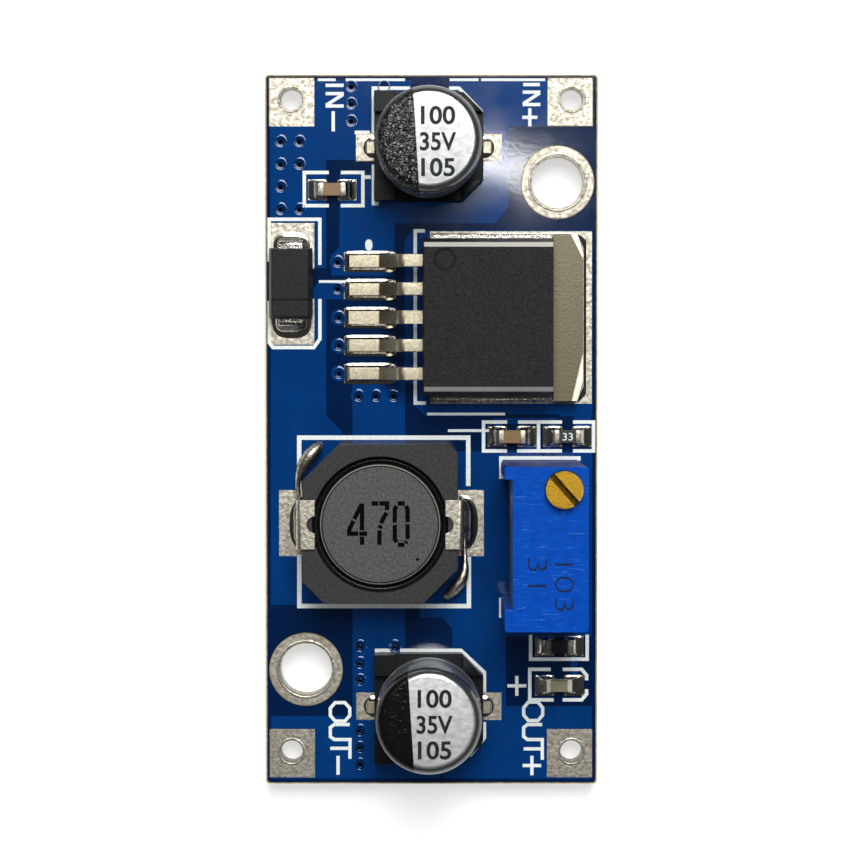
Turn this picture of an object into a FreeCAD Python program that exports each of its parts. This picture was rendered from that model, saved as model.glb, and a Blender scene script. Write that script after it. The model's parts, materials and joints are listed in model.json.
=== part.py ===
import FreeCAD, Part
import math
import os

# A small step-down converter board with its components. Sizes are in millimetres.
# The origin is the common centre of the four terminal holes and the two mounting holes, on the
# board's underside. +X runs across the board, +Y to its input end and +Z to the component side.

os.makedirs("parts", exist_ok=True)
V = FreeCAD.Vector
UP = V(0, 0, 1)
ALONG_X = V(1, 0, 0)
ALONG_Y = V(0, 1, 0)

# Board: everything on it is placed from the centre of the terminal holes.
terminal_pitch_x = 17.07
terminal_pitch_y = 39.75
terminal_hole_r = 0.68
terminal_pad_width = 2.66
terminal_pad_length = 2.86
terminal_pad_shift_x = {-1: 0.035, 1: -0.10}
terminal_pad_shift_y = {-1: -0.10, 1: -0.17}
side_margin = 1.565
input_end_margin = 1.475
output_end_margin = 1.975
board_thickness = 1.60
board_corner_r = 0.20
mount_hole_x = 7.66
mount_hole_y = 14.84
mount_hole_r = 1.60
mount_ring_r = 2.19
mask_to_edge = 0.08
mask_thickness = 0.03
mask_over_copper = 0.02
mask_side_cover = 0.03
mask_gap = 0.05
copper_thickness = 0.035
plating_thickness = 0.035
land_thickness = 0.06
copper_to_edge = 0.34
copper_gap = 0.28
trace_width = 0.30

# Vias under the mask: each group is a column or a row that starts at its own corner.
via_r = 0.30
via_hole_r = 0.20
via_pad_r = 0.45
lead_via_web = 0.06
via_mask_hole_r = 0.15
edge_via_x = -9.17
edge_via_second_x = -8.02
edge_via_y = 17.30
edge_via_step = 1.37
input_via_x = -4.88
input_via_second_x = -2.89
input_via_y = 20.64
input_via_step = 1.05
diode_via_x = -5.70
diode_via_y = 9.98
diode_via_step = 1.62
inductor_via_x = -4.45
inductor_via_y = 1.83
inductor_via_step = 1.07
output_via_x = -4.36
output_via_second_x = -2.24
output_via_y = -13.44
output_via_step = 1.04
ground_via_y = -18.62
ground_via_step = 1.03

# Power regulator: five gull-wing leads on one side, a soldered tab on the other.
regulator_x = 3.40
regulator_y = 6.62
regulator_length = 7.90
regulator_width = 9.50
regulator_height = 4.50
regulator_end_draft = 0.10
regulator_end_bevel = 0.04
regulator_shoulder_width = 8.90
regulator_top_width = 8.30
regulator_bevel_height = 0.42
regulator_base_draft = 0.12
regulator_mark_r = 0.60
regulator_mark_depth = 0.06
regulator_mark_from_side = 0.73
regulator_mark_from_end = 1.20
tab_width = 10.10
tab_thickness = 1.27
tab_reach = 1.81
tab_chamfer_x = 0.36
tab_chamfer_y = 1.20
tab_inner_width = 8.40
tab_inner_start = 1.50
tab_land_reach = 0.55
tab_land_side = 0.14
tab_land_start = 0.52
lead_count = 5
lead_pitch = 1.702
lead_width = 0.78
lead_thickness = 0.50
lead_level = 2.15
lead_flat = 1.26
lead_ramp = 1.18
lead_foot = 2.03
lead_bend_r = 0.40
lead_hold = 1.10
lead_land_width = 1.05
lead_land_length = 3.05
lead_land_reach = 0.25

# Rectifier diode: a moulded block with two leads folded under its ends.
diode_x = -8.50
diode_y = 8.67
diode_width = 2.64
diode_length = 4.30
diode_height = 2.25
diode_parting = 1.20
diode_top_width = 2.25
diode_top_length = 4.06
diode_lead_width = 1.45
diode_lead_thickness = 0.20
diode_lead_reach = 0.36
diode_lead_fold = 1.25
diode_lead_hold = 0.80
diode_bend_r = 0.16
diode_land_width = 2.65
diode_land_gap = 1.90
diode_land_length = 2.70

# Power inductor: a drum core with its coil inside a square shield, held by two clips.
inductor_x = -3.05
inductor_y = -5.72
shield_width = 9.25
shield_length = 9.40
shield_height = 4.60
shield_opening_r = 4.04
shield_chamfer_upper_left = 2.10
shield_chamfer_lower_right = 2.05
shield_chamfer_lower_left = 1.30
shield_corner_r = 0.76
shield_notch_width = 0.90
shield_notch_height = 1.00
drum_r = 3.63
drum_bevel = 0.18
drum_flange = 0.95
drum_drop = 0.12
drum_waist_r = 1.75
winding_gap = 0.28
clip_gap = 0.175
clip_width = 2.96
clip_thickness = 0.20
clip_fold = 1.15
clip_notch_r = 0.48
clip_foot = 2.60
clip_bend_r = 0.22
wire_r = 0.27
wire_bend_r = 0.60
wire_gap = 0.02
wire_from_corner = 0.54
wire_run_down = 1.04
inductor_land_beyond_clip = 1.19
inductor_land_length = 3.30
inductor_land_width = 3.93
inductor_land_shift_y = -0.18

# Can capacitors: the input one and the output one are alike.
capacitor_x = -0.16
input_capacitor_y = 16.94
output_capacitor_y = -17.10
can_r = 3.15
can_wall = 0.25
can_height = 6.70
can_edge_r = 0.38
can_lip_r = 2.30
can_foot_r = 0.30
can_bead_depth = 0.26
can_bead_width = 0.66
can_bead_height = 1.45
base_size = 6.60
base_plate = 1.00
base_post_height = 0.85
base_post_half = 2.05
base_chamfer = 1.30
base_can_gap = 0.04
capacitor_lead_width = 0.66
capacitor_lead_thickness = 0.20
capacitor_lead_reach = 0.45
capacitor_pin_r = 0.25
capacitor_pin_x = 1.10
capacitor_pin_above_seal = 0.90
roll_r = 2.45
roll_clearance = 0.45
capacitor_land_half_span = 4.38
capacitor_land_length = 2.80
capacitor_land_width = 1.58

# Multi-turn trimmer: a worm on the adjusting screw turns a wheel that carries the wiper.
trimmer_x = 6.65
trimmer_y = -6.85
trimmer_width = 4.83
trimmer_length = 9.53
trimmer_height = 10.03
trimmer_standoff = 0.35
trimmer_foot_length = 1.10
trimmer_edge_r = 0.15
trimmer_side_wall = 0.57
trimmer_end_wall = 0.62
trimmer_top_wall = 1.18
trimmer_floor = 0.70
trimmer_recess = 0.45
trimmer_upper_rib = 0.72
trimmer_lower_rib = 1.30
screw_from_side = 1.43
screw_bore_wall = 0.175
screw_head_r = 1.08
screw_head_rise = 0.80
screw_head_ledge = 0.30
screw_head_chamfer = 0.10
screw_clearance = 0.04
screw_slot_width = 0.38
screw_slot_depth = 0.55
screw_slot_angle = -48.5
screw_pilot_r = 0.36
screw_pilot_depth = 0.45
seal_ring_section_r = 0.15
seal_ring_above_ledge = 0.50
wheel_teeth = 34
worm_pitch = 0.5636
worm_turns = 6
worm_pitch_r = 0.70
worm_outer_r = 0.84
worm_core_r = 0.52
worm_root_sink = 0.04
worm_thread_width = 0.16
flank_angle = 20.0
wheel_width = 1.30
wheel_addendum = 0.12
wheel_dedendum = 0.20
wheel_gap_width = 0.31
wheel_hub_r = 1.35
wheel_hub_length = 0.45
axle_r = 0.75
axle_clearance = 0.05
wiper_thickness = 0.12
wiper_ring_r = 1.30
wiper_arm_width = 0.60
wiper_bend_r = 0.25
wiper_gap = 0.03
track_r = 2.40
track_width = 0.60
track_thickness = 0.03
track_open_angle = 70.0
collector_r = 0.55
back_seal_thickness = 0.42
plate_thickness = 0.64
pin_pitch = 2.54
pin_count = 3
pin_r = 0.25
pin_below = 0.90
pin_bend_r = 0.35
pin_inner_rise = 0.45
pin_clearance = 0.03
pin_hole_r = 0.42
pin_land_r = 0.95
pin_cone_height = 0.68
pin_cone_waist = 0.20

# Chip parts: one size for all five, with their own heights.
chip_length = 1.60
chip_width = 0.80
chip_end = 0.30
chip_end_wall = 0.025
chip_capacitor_height = 0.80
chip_resistor_height = 0.45
chip_land_half_span = 1.42
chip_land_length = 1.05
chip_land_width = 1.16
bypass_capacitor_x = -6.03
bypass_capacitor_y = 14.38
feedback_capacitor_x = 4.90
feedback_capacitor_y = -0.62
feedback_resistor_x = 8.28
feedback_resistor_y = -0.62
lamp_resistor_x = 7.80
lamp_resistor_y = -13.42
lamp_x = 7.80
lamp_y = -15.82
lamp_base_height = 0.28
lamp_lens_height = 0.42
lamp_lens_length = 1.06
lamp_lens_draft = 0.08

# Solder: the rise of a fillet is how far it climbs, its run how far it spreads.
fillet_sag = 0.32
chip_fillet_share = 0.60

# Levels through the board's thickness: laminate, then copper, then mask over both.
laminate_bottom = mask_over_copper + copper_thickness
laminate_top = board_thickness - laminate_bottom
copper_top_level = laminate_top + copper_thickness
copper_bottom_level = laminate_bottom - copper_thickness
seat = laminate_top + land_thickness
land_bottom = laminate_bottom - land_thickness
board_x1 = terminal_pitch_x / 2 + side_margin
board_x0 = -board_x1
board_y1 = terminal_pitch_y / 2 + input_end_margin
board_y0 = -terminal_pitch_y / 2 - output_end_margin
clip_span = shield_width + 2 * (clip_gap + clip_thickness)


# Drawing helpers.

def on_floor(outline, z):
    """Corners of a plan, at height z."""
    return [(V(u, v, z), r) for u, v, r in outline]


def from_side(outline, y):
    """Corners of a side view, whose axes are X and Z."""
    return [(V(u, y, v), r) for u, v, r in outline]


def from_end(outline, x):
    """Corners of an end view, whose axes are Y and Z."""
    return [(V(x, u, v), r) for u, v, r in outline]


def rounded_wire(corners, closed=True):
    """A wire through corners (point, radius), with an arc of that radius at each corner."""
    turns = []
    last = len(corners) - 1
    for i, (here, radius) in enumerate(corners):
        if radius == 0 or (not closed and i in (0, last)):
            turns.append((here, None, here))
            continue
        back = (corners[i - 1][0] - here).normalize()
        ahead = (corners[(i + 1) % len(corners)][0] - here).normalize()
        half = back.getAngle(ahead) / 2
        run = radius / math.tan(half)
        inward = (back + ahead).normalize()
        middle = here + inward * (radius / math.sin(half) - radius)
        turns.append((here + back * run, middle, here + ahead * run))
    edges = []
    for i, (start, middle, end) in enumerate(turns):
        if middle is not None:
            edges.append(Part.Arc(start, middle, end).toShape())
        if i == last and not closed:
            break
        following = turns[(i + 1) % len(turns)][0]
        if (following - end).Length > 1e-6:
            edges.append(Part.makeLine(end, following))
    return Part.Wire(edges)


def square_corners(x0, x1, y0, y1, radius=0):
    return [(x0, y0, radius), (x1, y0, radius), (x1, y1, radius), (x0, y1, radius)]


def plate(outline, z0, height):
    """A plan pushed up from z0."""
    return Part.Face(rounded_wire(on_floor(outline, z0))).extrude(UP * height)


def box(x0, x1, y0, y1, z0, z1):
    return plate(square_corners(x0, x1, y0, y1), z0, z1 - z0)


def block(x, y, width, length, z0, z1):
    return box(x - width / 2, x + width / 2, y - length / 2, y + length / 2, z0, z1)


def rod(x, y, radius, z0, z1):
    return Part.makeCylinder(radius, z1 - z0, V(x, y, z0))


def side_prism(outline, y, width):
    """A side view as thick as width, centred on y."""
    return Part.Face(rounded_wire(from_side(outline, y - width / 2))).extrude(ALONG_Y * width)


def end_prism(outline, x, width):
    """An end view as thick as width, centred on x."""
    return Part.Face(rounded_wire(from_end(outline, x - width / 2))).extrude(ALONG_X * width)


def turned(outline, x, y):
    """A profile of (radius, height) turned about the upright line through (x, y)."""
    corners = [(V(x + u, y, v), r) for u, v, r in outline]
    return Part.Face(rounded_wire(corners)).revolve(V(x, y, 0), UP, 360)


def turned_on_x(outline, y, z):
    """A profile of (x, radius) turned about the level line along X through (y, z)."""
    corners = [(V(u, y, z + v), r) for u, v, r in outline]
    return Part.Face(rounded_wire(corners)).revolve(V(0, y, z), ALONG_X, 360)


def strip_outline(points, thickness, bend_r):
    """The edge view of a bent strip, from its middle line and the radius of its bends."""
    half = thickness / 2
    left, right = [], []
    last = len(points) - 1
    for i, (u, v) in enumerate(points):
        before = points[max(i - 1, 0)]
        after = points[min(i + 1, last)]
        into = V(u - before[0], v - before[1], 0)
        out = V(after[0] - u, after[1] - v, 0)
        into = (into if i > 0 else out).normalize()
        out = (out if i < last else into).normalize()
        side_in = V(-into.y, into.x, 0)
        side_out = V(-out.y, out.x, 0)
        shift = (side_in + side_out) * (half / (1 + side_in.dot(side_out)))
        turn = into.x * out.y - into.y * out.x
        inner, outer = bend_r - half, bend_r + half
        ends = i in (0, last)
        left.append((u + shift.x, v + shift.y, 0 if ends else (inner if turn > 0 else outer)))
        right.append((u - shift.x, v - shift.y, 0 if ends else (outer if turn > 0 else inner)))
    return left + right[::-1]


def bent_rod(points, radius, bend_r):
    """A round wire along points: straight rods joined by quarter rings or less at its bends."""
    pieces = []
    start = points[0]
    for i in range(1, len(points)):
        here = points[i]
        into = (here - points[i - 1]).normalize()
        if i == len(points) - 1:
            pieces.append(Part.makeCylinder(radius, (here - start).Length, start, into))
            break
        out = (points[i + 1] - here).normalize()
        turn = into.getAngle(out)
        run = bend_r * math.tan(turn / 2)
        bend_start = here - into * run
        pieces.append(Part.makeCylinder(radius, (bend_start - start).Length, start, into))
        axis = into.cross(out).normalize()
        middle = bend_start + axis.cross(into) * bend_r
        section = Part.Face(Part.Wire(Part.makeCircle(radius, bend_start, into)))
        pieces.append(section.revolve(middle, axis, math.degrees(turn)))
        start = here + out * run
    return fuse(pieces)


def frustum(lower, upper):
    """A block with sloping sides between two level rectangles (x0, x1, y0, y1, z)."""
    wires = [rounded_wire(on_floor(square_corners(*r[:4]), r[4])) for r in (lower, upper)]
    return Part.makeLoft(wires, True, True)


def centred(x, y, width, length, z):
    return (x - width / 2, x + width / 2, y - length / 2, y + length / 2, z)


def fuse(shapes):
    first, *rest = shapes
    return first.multiFuse(rest).removeSplitter() if rest else first


def group(shapes):
    return Part.makeCompound(shapes)


def half_turn(shape, x, y):
    """A copy turned half round about the upright line through (x, y)."""
    copy = shape.copy()
    copy.rotate(V(x, y, 0), UP, 180)
    return copy


def fillet_bar(x, y, length, run, rise, heading):
    """Solder against an upright edge at (x, y). It spreads by run towards heading, in degrees."""
    outline = [
        (x, seat, 0),
        (x + run, seat, 0),
        (x + run * fillet_sag, seat + rise * fillet_sag, 0),
        (x, seat + rise, 0),
    ]
    bar = side_prism(outline, y, length)
    bar.rotate(V(x, y, 0), UP, heading)
    return bar


# Holes and pads of the board.

terminals = {
    "in_minus": (-terminal_pitch_x / 2, terminal_pitch_y / 2),
    "in_plus": (terminal_pitch_x / 2, terminal_pitch_y / 2),
    "out_minus": (-terminal_pitch_x / 2, -terminal_pitch_y / 2),
    "out_plus": (terminal_pitch_x / 2, -terminal_pitch_y / 2),
}
mounting_holes = {
    "in": (mount_hole_x, mount_hole_y),
    "out": (-mount_hole_x, -mount_hole_y),
}
trimmer_pins = [
    (trimmer_x, trimmer_y + (i - (pin_count - 1) / 2) * pin_pitch) for i in range(pin_count)
]


def column(x, y, step, count):
    """Via places in a column that runs down from (x, y)."""
    return [(x, y - i * step) for i in range(count)]


def row(x, y, step, count):
    """Via places in a row that runs right from (x, y)."""
    return [(x + i * step, y) for i in range(count)]


vias = (
    column(edge_via_x, edge_via_y, edge_via_step, 4)
    + column(edge_via_second_x, edge_via_y, edge_via_step, 2)
    + [(edge_via_second_x, edge_via_y - 3 * edge_via_step)]
    + column(input_via_x, input_via_y, input_via_step, 3)
    + [(input_via_second_x, input_via_y)]
    + column(diode_via_x, diode_via_y, diode_via_step, 2)
    + row(inductor_via_x, inductor_via_y, inductor_via_step, 3)
    + column(output_via_x, output_via_y, output_via_step, 3)
    + [(output_via_second_x, output_via_y)]
    + column(output_via_x, ground_via_y, ground_via_step, 3)
)


def board_plan(x0, x1, y0, y1):
    return square_corners(x0, x1, y0, y1, board_corner_r)


def board_sheet(z0, z1, inset=0.0):
    plan = board_plan(board_x0 + inset, board_x1 - inset, board_y0 + inset, board_y1 - inset)
    return plate(plan, z0, z1 - z0)


def terminal_pad(x, y, z0, z1, extra=0.0):
    """The square pad of a terminal: it lies a little beside the middle of its hole."""
    middle_x = x + terminal_pad_shift_x[round(math.copysign(1, x))]
    middle_y = y + terminal_pad_shift_y[round(math.copysign(1, y))]
    return block(middle_x, middle_y, terminal_pad_width + 2 * extra,
                 terminal_pad_length + 2 * extra, z0, z1)


def land_rectangles():
    """The rectangles (x0, x1, y0, y1) of every land on the top face."""
    lands = []
    lead_tip = regulator_x - regulator_length / 2 - lead_flat - lead_ramp - lead_foot
    for place in lead_places():
        x0 = lead_tip - lead_land_reach
        half = lead_land_width / 2
        lands.append((x0, x0 + lead_land_length, place - half, place + half))
    tab_half = tab_width / 2 + tab_land_side
    lands.append((
        regulator_x - regulator_length / 2 + tab_land_start,
        regulator_x + regulator_length / 2 + tab_reach + tab_land_reach,
        regulator_y - tab_half,
        regulator_y + tab_half,
    ))
    for side in (-1, 1):
        near = diode_y + side * diode_land_gap / 2
        far = near + side * diode_land_length
        half = diode_land_width / 2
        lands.append((diode_x - half, diode_x + half, min(near, far), max(near, far)))
    for side in (-1, 1):
        far = inductor_x + side * (clip_span / 2 + inductor_land_beyond_clip)
        near = far - side * inductor_land_length
        middle = inductor_y + inductor_land_shift_y
        half = inductor_land_width / 2
        lands.append((min(near, far), max(near, far), middle - half, middle + half))
    for y in (input_capacitor_y, output_capacitor_y):
        for side in (-1, 1):
            far = capacitor_x + side * capacitor_land_half_span
            near = far - side * capacitor_land_length
            half = capacitor_land_width / 2
            lands.append((min(near, far), max(near, far), y - half, y + half))
    for x, y in chip_places.values():
        for side in (-1, 1):
            far = x + side * chip_land_half_span
            near = far - side * chip_land_length
            half = chip_land_width / 2
            lands.append((min(near, far), max(near, far), y - half, y + half))
    return lands


def lead_places():
    """The Y of each regulator lead, from the first at the input end."""
    middle = (lead_count - 1) / 2
    return [regulator_y + (middle - i) * lead_pitch for i in range(lead_count)]


chip_places = {
    "bypass_capacitor": (bypass_capacitor_x, bypass_capacitor_y),
    "feedback_capacitor": (feedback_capacitor_x, feedback_capacitor_y),
    "feedback_resistor": (feedback_resistor_x, feedback_resistor_y),
    "lamp_resistor": (lamp_resistor_x, lamp_resistor_y),
    "lamp": (lamp_x, lamp_y),
}
chip_heights = {
    "bypass_capacitor": chip_capacitor_height,
    "feedback_capacitor": chip_capacitor_height,
    "feedback_resistor": chip_resistor_height,
    "lamp_resistor": chip_resistor_height,
    "lamp": lamp_base_height,
}


# Copper pours on the top face, read off the photograph: each net is a list of outlines, given
# anticlockwise, that run into each other and into the lands of that net.

pour_x = board_x1 - copper_to_edge
pour_y1 = board_y1 - copper_to_edge
pour_y0 = board_y0 + copper_to_edge


def rectangle(x0, x1, y0, y1):
    return [(x0, y0), (x1, y0), (x1, y1), (x0, y1)]


def trace(x0, y0, x1, y1):
    """A straight trace, square at its ends, between two points on one row or one column."""
    half = trace_width / 2
    return rectangle(min(x0, x1) - half, max(x0, x1) + half,
                     min(y0, y1) - half, max(y0, y1) + half)


input_ground = [
    [(-pour_x, 9.64), (-6.44, 9.64), (-6.44, 16.22), (-1.25, 16.22), (-1.25, pour_y1),
     (-pour_x, pour_y1)],
]
supply = [
    [(1.10, pour_y1), (1.10, 15.37), (-5.57, 15.37), (-5.57, 10.88), (-6.05, 10.40),
     (-6.05, 9.20), (-2.25, 9.20), (-2.25, 12.38), (3.87, 12.38), (4.66, 13.36),
     (4.66, 18.29), (pour_x, 18.29), (pour_x, pour_y1)],
]
switched = [
    [(-pour_x, 8.36), (-pour_x, -10.88), (-5.51, -10.88), (-5.51, -0.29), (-6.44, 0.63),
     (-6.44, 7.76), (-4.80, 7.76), (-4.80, 8.76), (-6.82, 8.76), (-7.16, 8.36)],
]
ground = [
    [(-1.60, 11.30), (-1.60, 2.95), (-1.00, 2.50), (-1.00, 1.24), (-0.33, 0.63),
     (pour_x, 0.63), (pour_x, 11.89), (-1.19, 11.89)],
    rectangle(-2.30, -1.50, 6.20, 7.04),
    rectangle(-2.30, -1.00, 2.69, 3.60),
    rectangle(8.70, 9.70, -0.30, 0.70),
    [(-4.78, 2.95), (-4.78, -17.73), (-pour_x, -17.73), (-pour_x, pour_y0), (0.52, pour_y0),
     (0.52, -16.67), (-1.64, -16.67), (-1.64, 2.95)],
]
output = [
    [(-0.70, -1.57), (-0.70, -11.64), (0.64, -11.64), (1.31, -12.34), (1.31, -13.62),
     (0.76, -16.67), (0.76, pour_y0), (pour_x, pour_y0), (pour_x, -17.13), (4.52, -17.13),
     (4.52, -12.83), (pour_x, -12.83), (pour_x, -1.57)],
    rectangle(5.35, 6.25, -1.70, -1.10),
    rectangle(6.45, 7.35, -13.00, -12.70),
]
feedback = [
    trace(4.00, -0.05, 4.00, 0.33),
    trace(4.00, 0.33, 7.40, 0.33),
    trace(7.40, 0.33, 7.40, -0.05),
    trace(7.10, -1.25, 7.10, trimmer_pins[-1][1]),
    trace(*trimmer_pins[-1], 7.10, trimmer_pins[-1][1]),
]
lamp_link = [trace(8.70, -13.95, 8.70, -15.30)]

# Vias that hold the rest together: beside the last three leads, and two under chip lands.
# The feedback runs on the underside from its lead to its capacitor.
lead_via_x = regulator_x - regulator_length / 2 - lead_flat - lead_ramp - lead_foot \
    - lead_land_reach - lead_via_web - via_r
lead_vias = [(lead_via_x, y) for y in lead_places()[-3:]]
chip_land_middle = chip_land_half_span - chip_land_length / 2
lamp_via = (lamp_x - chip_land_middle, lamp_y)
feedback_vias = [lead_vias[1], (feedback_capacitor_x - chip_land_middle, feedback_capacitor_y)]
buried_vias = [lamp_via, feedback_vias[1]]
insulated_vias = feedback_vias + column(diode_via_x, diode_via_y, diode_via_step, 2)
vias += lead_vias + buried_vias
feedback_corner = (feedback_vias[1][0], feedback_vias[0][1])
feedback_below = [
    trace(*feedback_vias[0], *feedback_corner),
    trace(*feedback_corner, *feedback_vias[1]),
]


def grown(outline, by):
    """An anticlockwise outline with every side moved outwards by the same distance."""
    moved = []
    for i, (x, y) in enumerate(outline):
        before = V(x - outline[i - 1][0], y - outline[i - 1][1], 0).normalize()
        after = V(outline[(i + 1) % len(outline)][0] - x,
                  outline[(i + 1) % len(outline)][1] - y, 0).normalize()
        side = (before + after).cross(UP)
        step = by / (1 + before.dot(after))
        moved.append((x + side.x * step, y + side.y * step))
    return moved


def sheets(outlines, extra, z0, z1):
    """Flat sheets on these outlines, each grown by extra."""
    return [plate([(u, v, 0) for u, v in grown(outline, extra)], z0, z1 - z0)
            for outline in outlines]


def nets(extra, z0, z1):
    """The copper of every net on the top face, grown by extra, with a gap round the feedback."""
    poured = fuse(sheets(input_ground + supply + switched + ground + output, extra, z0, z1))
    gap = sheets(feedback, copper_gap - extra, z0, z1)
    traces = sheets(feedback + lamp_link, extra, z0, z1)
    pads = [rod(x, y, via_pad_r + extra, z0, z1) for x, y in vias]
    return poured.cut(gap).fuse(traces + pads)


def make_top_copper():
    z0, z1 = laminate_top, copper_top_level
    taken = [box(*place, z0, z1) for place in land_rectangles()]
    taken += [terminal_pad(x, y, z0, z1) for x, y in terminals.values()]
    taken += [rod(x, y, via_r, z0, z1) for x, y in vias]
    taken += [rod(x, y, pin_hole_r, z0, z1) for x, y in trimmer_pins]
    return group(nets(0, z0, z1).cut(taken).Solids)


def make_bottom_copper():
    """One ground plane, joined to the ground's terminals and vias, and the feedback trace."""
    z0, z1 = copper_bottom_level, laminate_bottom
    plane = plate(square_corners(-pour_x, pour_x, pour_y0, pour_y1), z0, z1 - z0)
    taken = [rod(x, y, pin_land_r + copper_gap, z0, z1) for x, y in trimmer_pins]
    taken += [rod(x, y, mount_ring_r + copper_gap, z0, z1) for x, y in mounting_holes.values()]
    for name, (x, y) in terminals.items():
        gap = 0 if name.endswith("minus") else copper_gap
        taken.append(terminal_pad(x, y, z0, z1, gap))
    taken += [rod(x, y, via_pad_r + copper_gap, z0, z1) for x, y in insulated_vias]
    taken += sheets(feedback_below, copper_gap, z0, z1)
    insulated = [rod(x, y, via_pad_r, z0, z1) for x, y in insulated_vias]
    insulated += sheets(feedback_below, 0, z0, z1)
    copper = plane.cut(taken).fuse(insulated)
    return group(copper.cut([rod(x, y, via_r, z0, z1) for x, y in vias]).Solids)


def make_board():
    sheet = board_sheet(laminate_bottom, laminate_top)
    holes = [rod(x, y, terminal_hole_r + plating_thickness, 0, board_thickness)
             for x, y in terminals.values()]
    holes += [rod(x, y, mount_hole_r, 0, board_thickness) for x, y in mounting_holes.values()]
    holes += [rod(x, y, via_r, 0, board_thickness) for x, y in vias]
    holes += [rod(x, y, pin_hole_r, 0, board_thickness) for x, y in trimmer_pins]
    return sheet.cut(holes)


def pad_openings(z0, z1):
    """What both masks leave open: the terminal pads and the mounting rings."""
    openings = [terminal_pad(x, y, z0, z1, mask_gap) for x, y in terminals.values()]
    openings += [rod(x, y, mount_ring_r + mask_gap, z0, z1) for x, y in mounting_holes.values()]
    return openings


def make_top_mask(copper):
    """Lacquer on the laminate, higher over the copper, with a pinhole over each open via."""
    z0, z1 = laminate_top, board_thickness
    openings = pad_openings(z0, z1)
    for x0, x1, y0, y1 in land_rectangles():
        openings.append(box(x0 - mask_gap, x1 + mask_gap, y0 - mask_gap, y1 + mask_gap, z0, z1))
    openings += [rod(x, y, pin_hole_r, z0, z1) for x, y in trimmer_pins]
    openings += [rod(x, y, via_mask_hole_r, z0, z1) for x, y in vias]
    openings += [rod(x, y, via_r, z0, copper_top_level) for x, y in vias]
    sheet = board_sheet(z0, z0 + mask_thickness, mask_to_edge)
    lacquer = sheet.fuse(nets(mask_side_cover, z0, z1))
    return lacquer.cut([copper] + openings)


def make_bottom_mask(copper):
    z0, z1 = 0, laminate_bottom
    openings = pad_openings(z0, z1)
    openings += [rod(x, y, pin_land_r + mask_gap, z0, z1) for x, y in trimmer_pins]
    openings += [rod(x, y, via_r, copper_bottom_level, z1) for x, y in vias]
    return board_sheet(z0, z1, mask_to_edge).cut([copper] + openings)


def make_terminal_pad(x, y):
    """A plated through hole with a square pad on each face."""
    pads = [
        terminal_pad(x, y, laminate_top, seat),
        terminal_pad(x, y, land_bottom, laminate_bottom),
        rod(x, y, terminal_hole_r + plating_thickness, land_bottom, seat),
    ]
    return fuse(pads).cut(rod(x, y, terminal_hole_r, land_bottom, seat))


def make_mounting_ring(x, y):
    """A ring of tinned copper on each face round a drilled hole."""
    hole = rod(x, y, mount_hole_r, land_bottom, seat)
    upper = rod(x, y, mount_ring_r, laminate_top, seat)
    lower = rod(x, y, mount_ring_r, land_bottom, laminate_bottom)
    return group([upper.cut(hole), lower.cut(hole)])


def make_vias():
    z0, z1 = copper_bottom_level, copper_top_level
    barrels = [rod(x, y, via_r, z0, z1) for x, y in vias]
    bores = [rod(x, y, via_hole_r, z0, z1) for x, y in vias]
    return group([barrel.cut(bore) for barrel, bore in zip(barrels, bores)])


def make_lands():
    ends = [rod(x, y, via_r, laminate_top, copper_top_level) for x, y in buried_vias]
    lands = [box(*place, laminate_top, seat).cut(ends) for place in land_rectangles()]
    for x, y in trimmer_pins:
        ring = rod(x, y, pin_land_r, land_bottom, laminate_bottom)
        lands.append(ring.cut(rod(x, y, pin_hole_r, land_bottom, laminate_bottom)))
    return group(lands)


# Power regulator.

def lead_line():
    """The middle line of a gull-wing lead, from its tip to the body's face."""
    face = regulator_x - regulator_length / 2
    foot_z = seat + lead_thickness / 2
    flat_z = seat + lead_level
    knee = face - lead_flat
    heel = knee - lead_ramp
    return [(heel - lead_foot, foot_z), (heel, foot_z), (knee, flat_z), (face, flat_z)]


def make_lead(y):
    line = lead_line()
    x, z = line[-1]
    line[-1] = (x + lead_hold, z)
    return side_prism(strip_outline(line, lead_thickness, lead_bend_r), y, lead_width)


def make_tab():
    """The heat tab, and the middle lead that is one piece with it."""
    end = regulator_x + regulator_length / 2
    face = regulator_x - regulator_length / 2
    tip = end + tab_reach
    inner = tab_inner_width / 2
    outer = tab_width / 2
    plan = [
        (face + tab_inner_start, -inner, 0),
        (end, -inner, 0),
        (end, -outer, 0),
        (tip - tab_chamfer_x, -outer, 0),
        (tip, -outer + tab_chamfer_y, 0),
        (tip, outer - tab_chamfer_y, 0),
        (tip - tab_chamfer_x, outer, 0),
        (end, outer, 0),
        (end, inner, 0),
        (face + tab_inner_start, inner, 0),
    ]
    shifted = [(u, regulator_y + v, r) for u, v, r in plan]
    tab = plate(shifted, seat, tab_thickness)
    line = lead_line()
    line[-1] = (face + lead_hold / 2, seat + lead_level)
    line.append((face + tab_inner_start + lead_thickness, seat + tab_thickness - lead_thickness / 2))
    line.append((regulator_x, seat + tab_thickness - lead_thickness / 2))
    lead = side_prism(strip_outline(line, lead_thickness, lead_bend_r), regulator_y, lead_width)
    return fuse([tab, lead])


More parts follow.
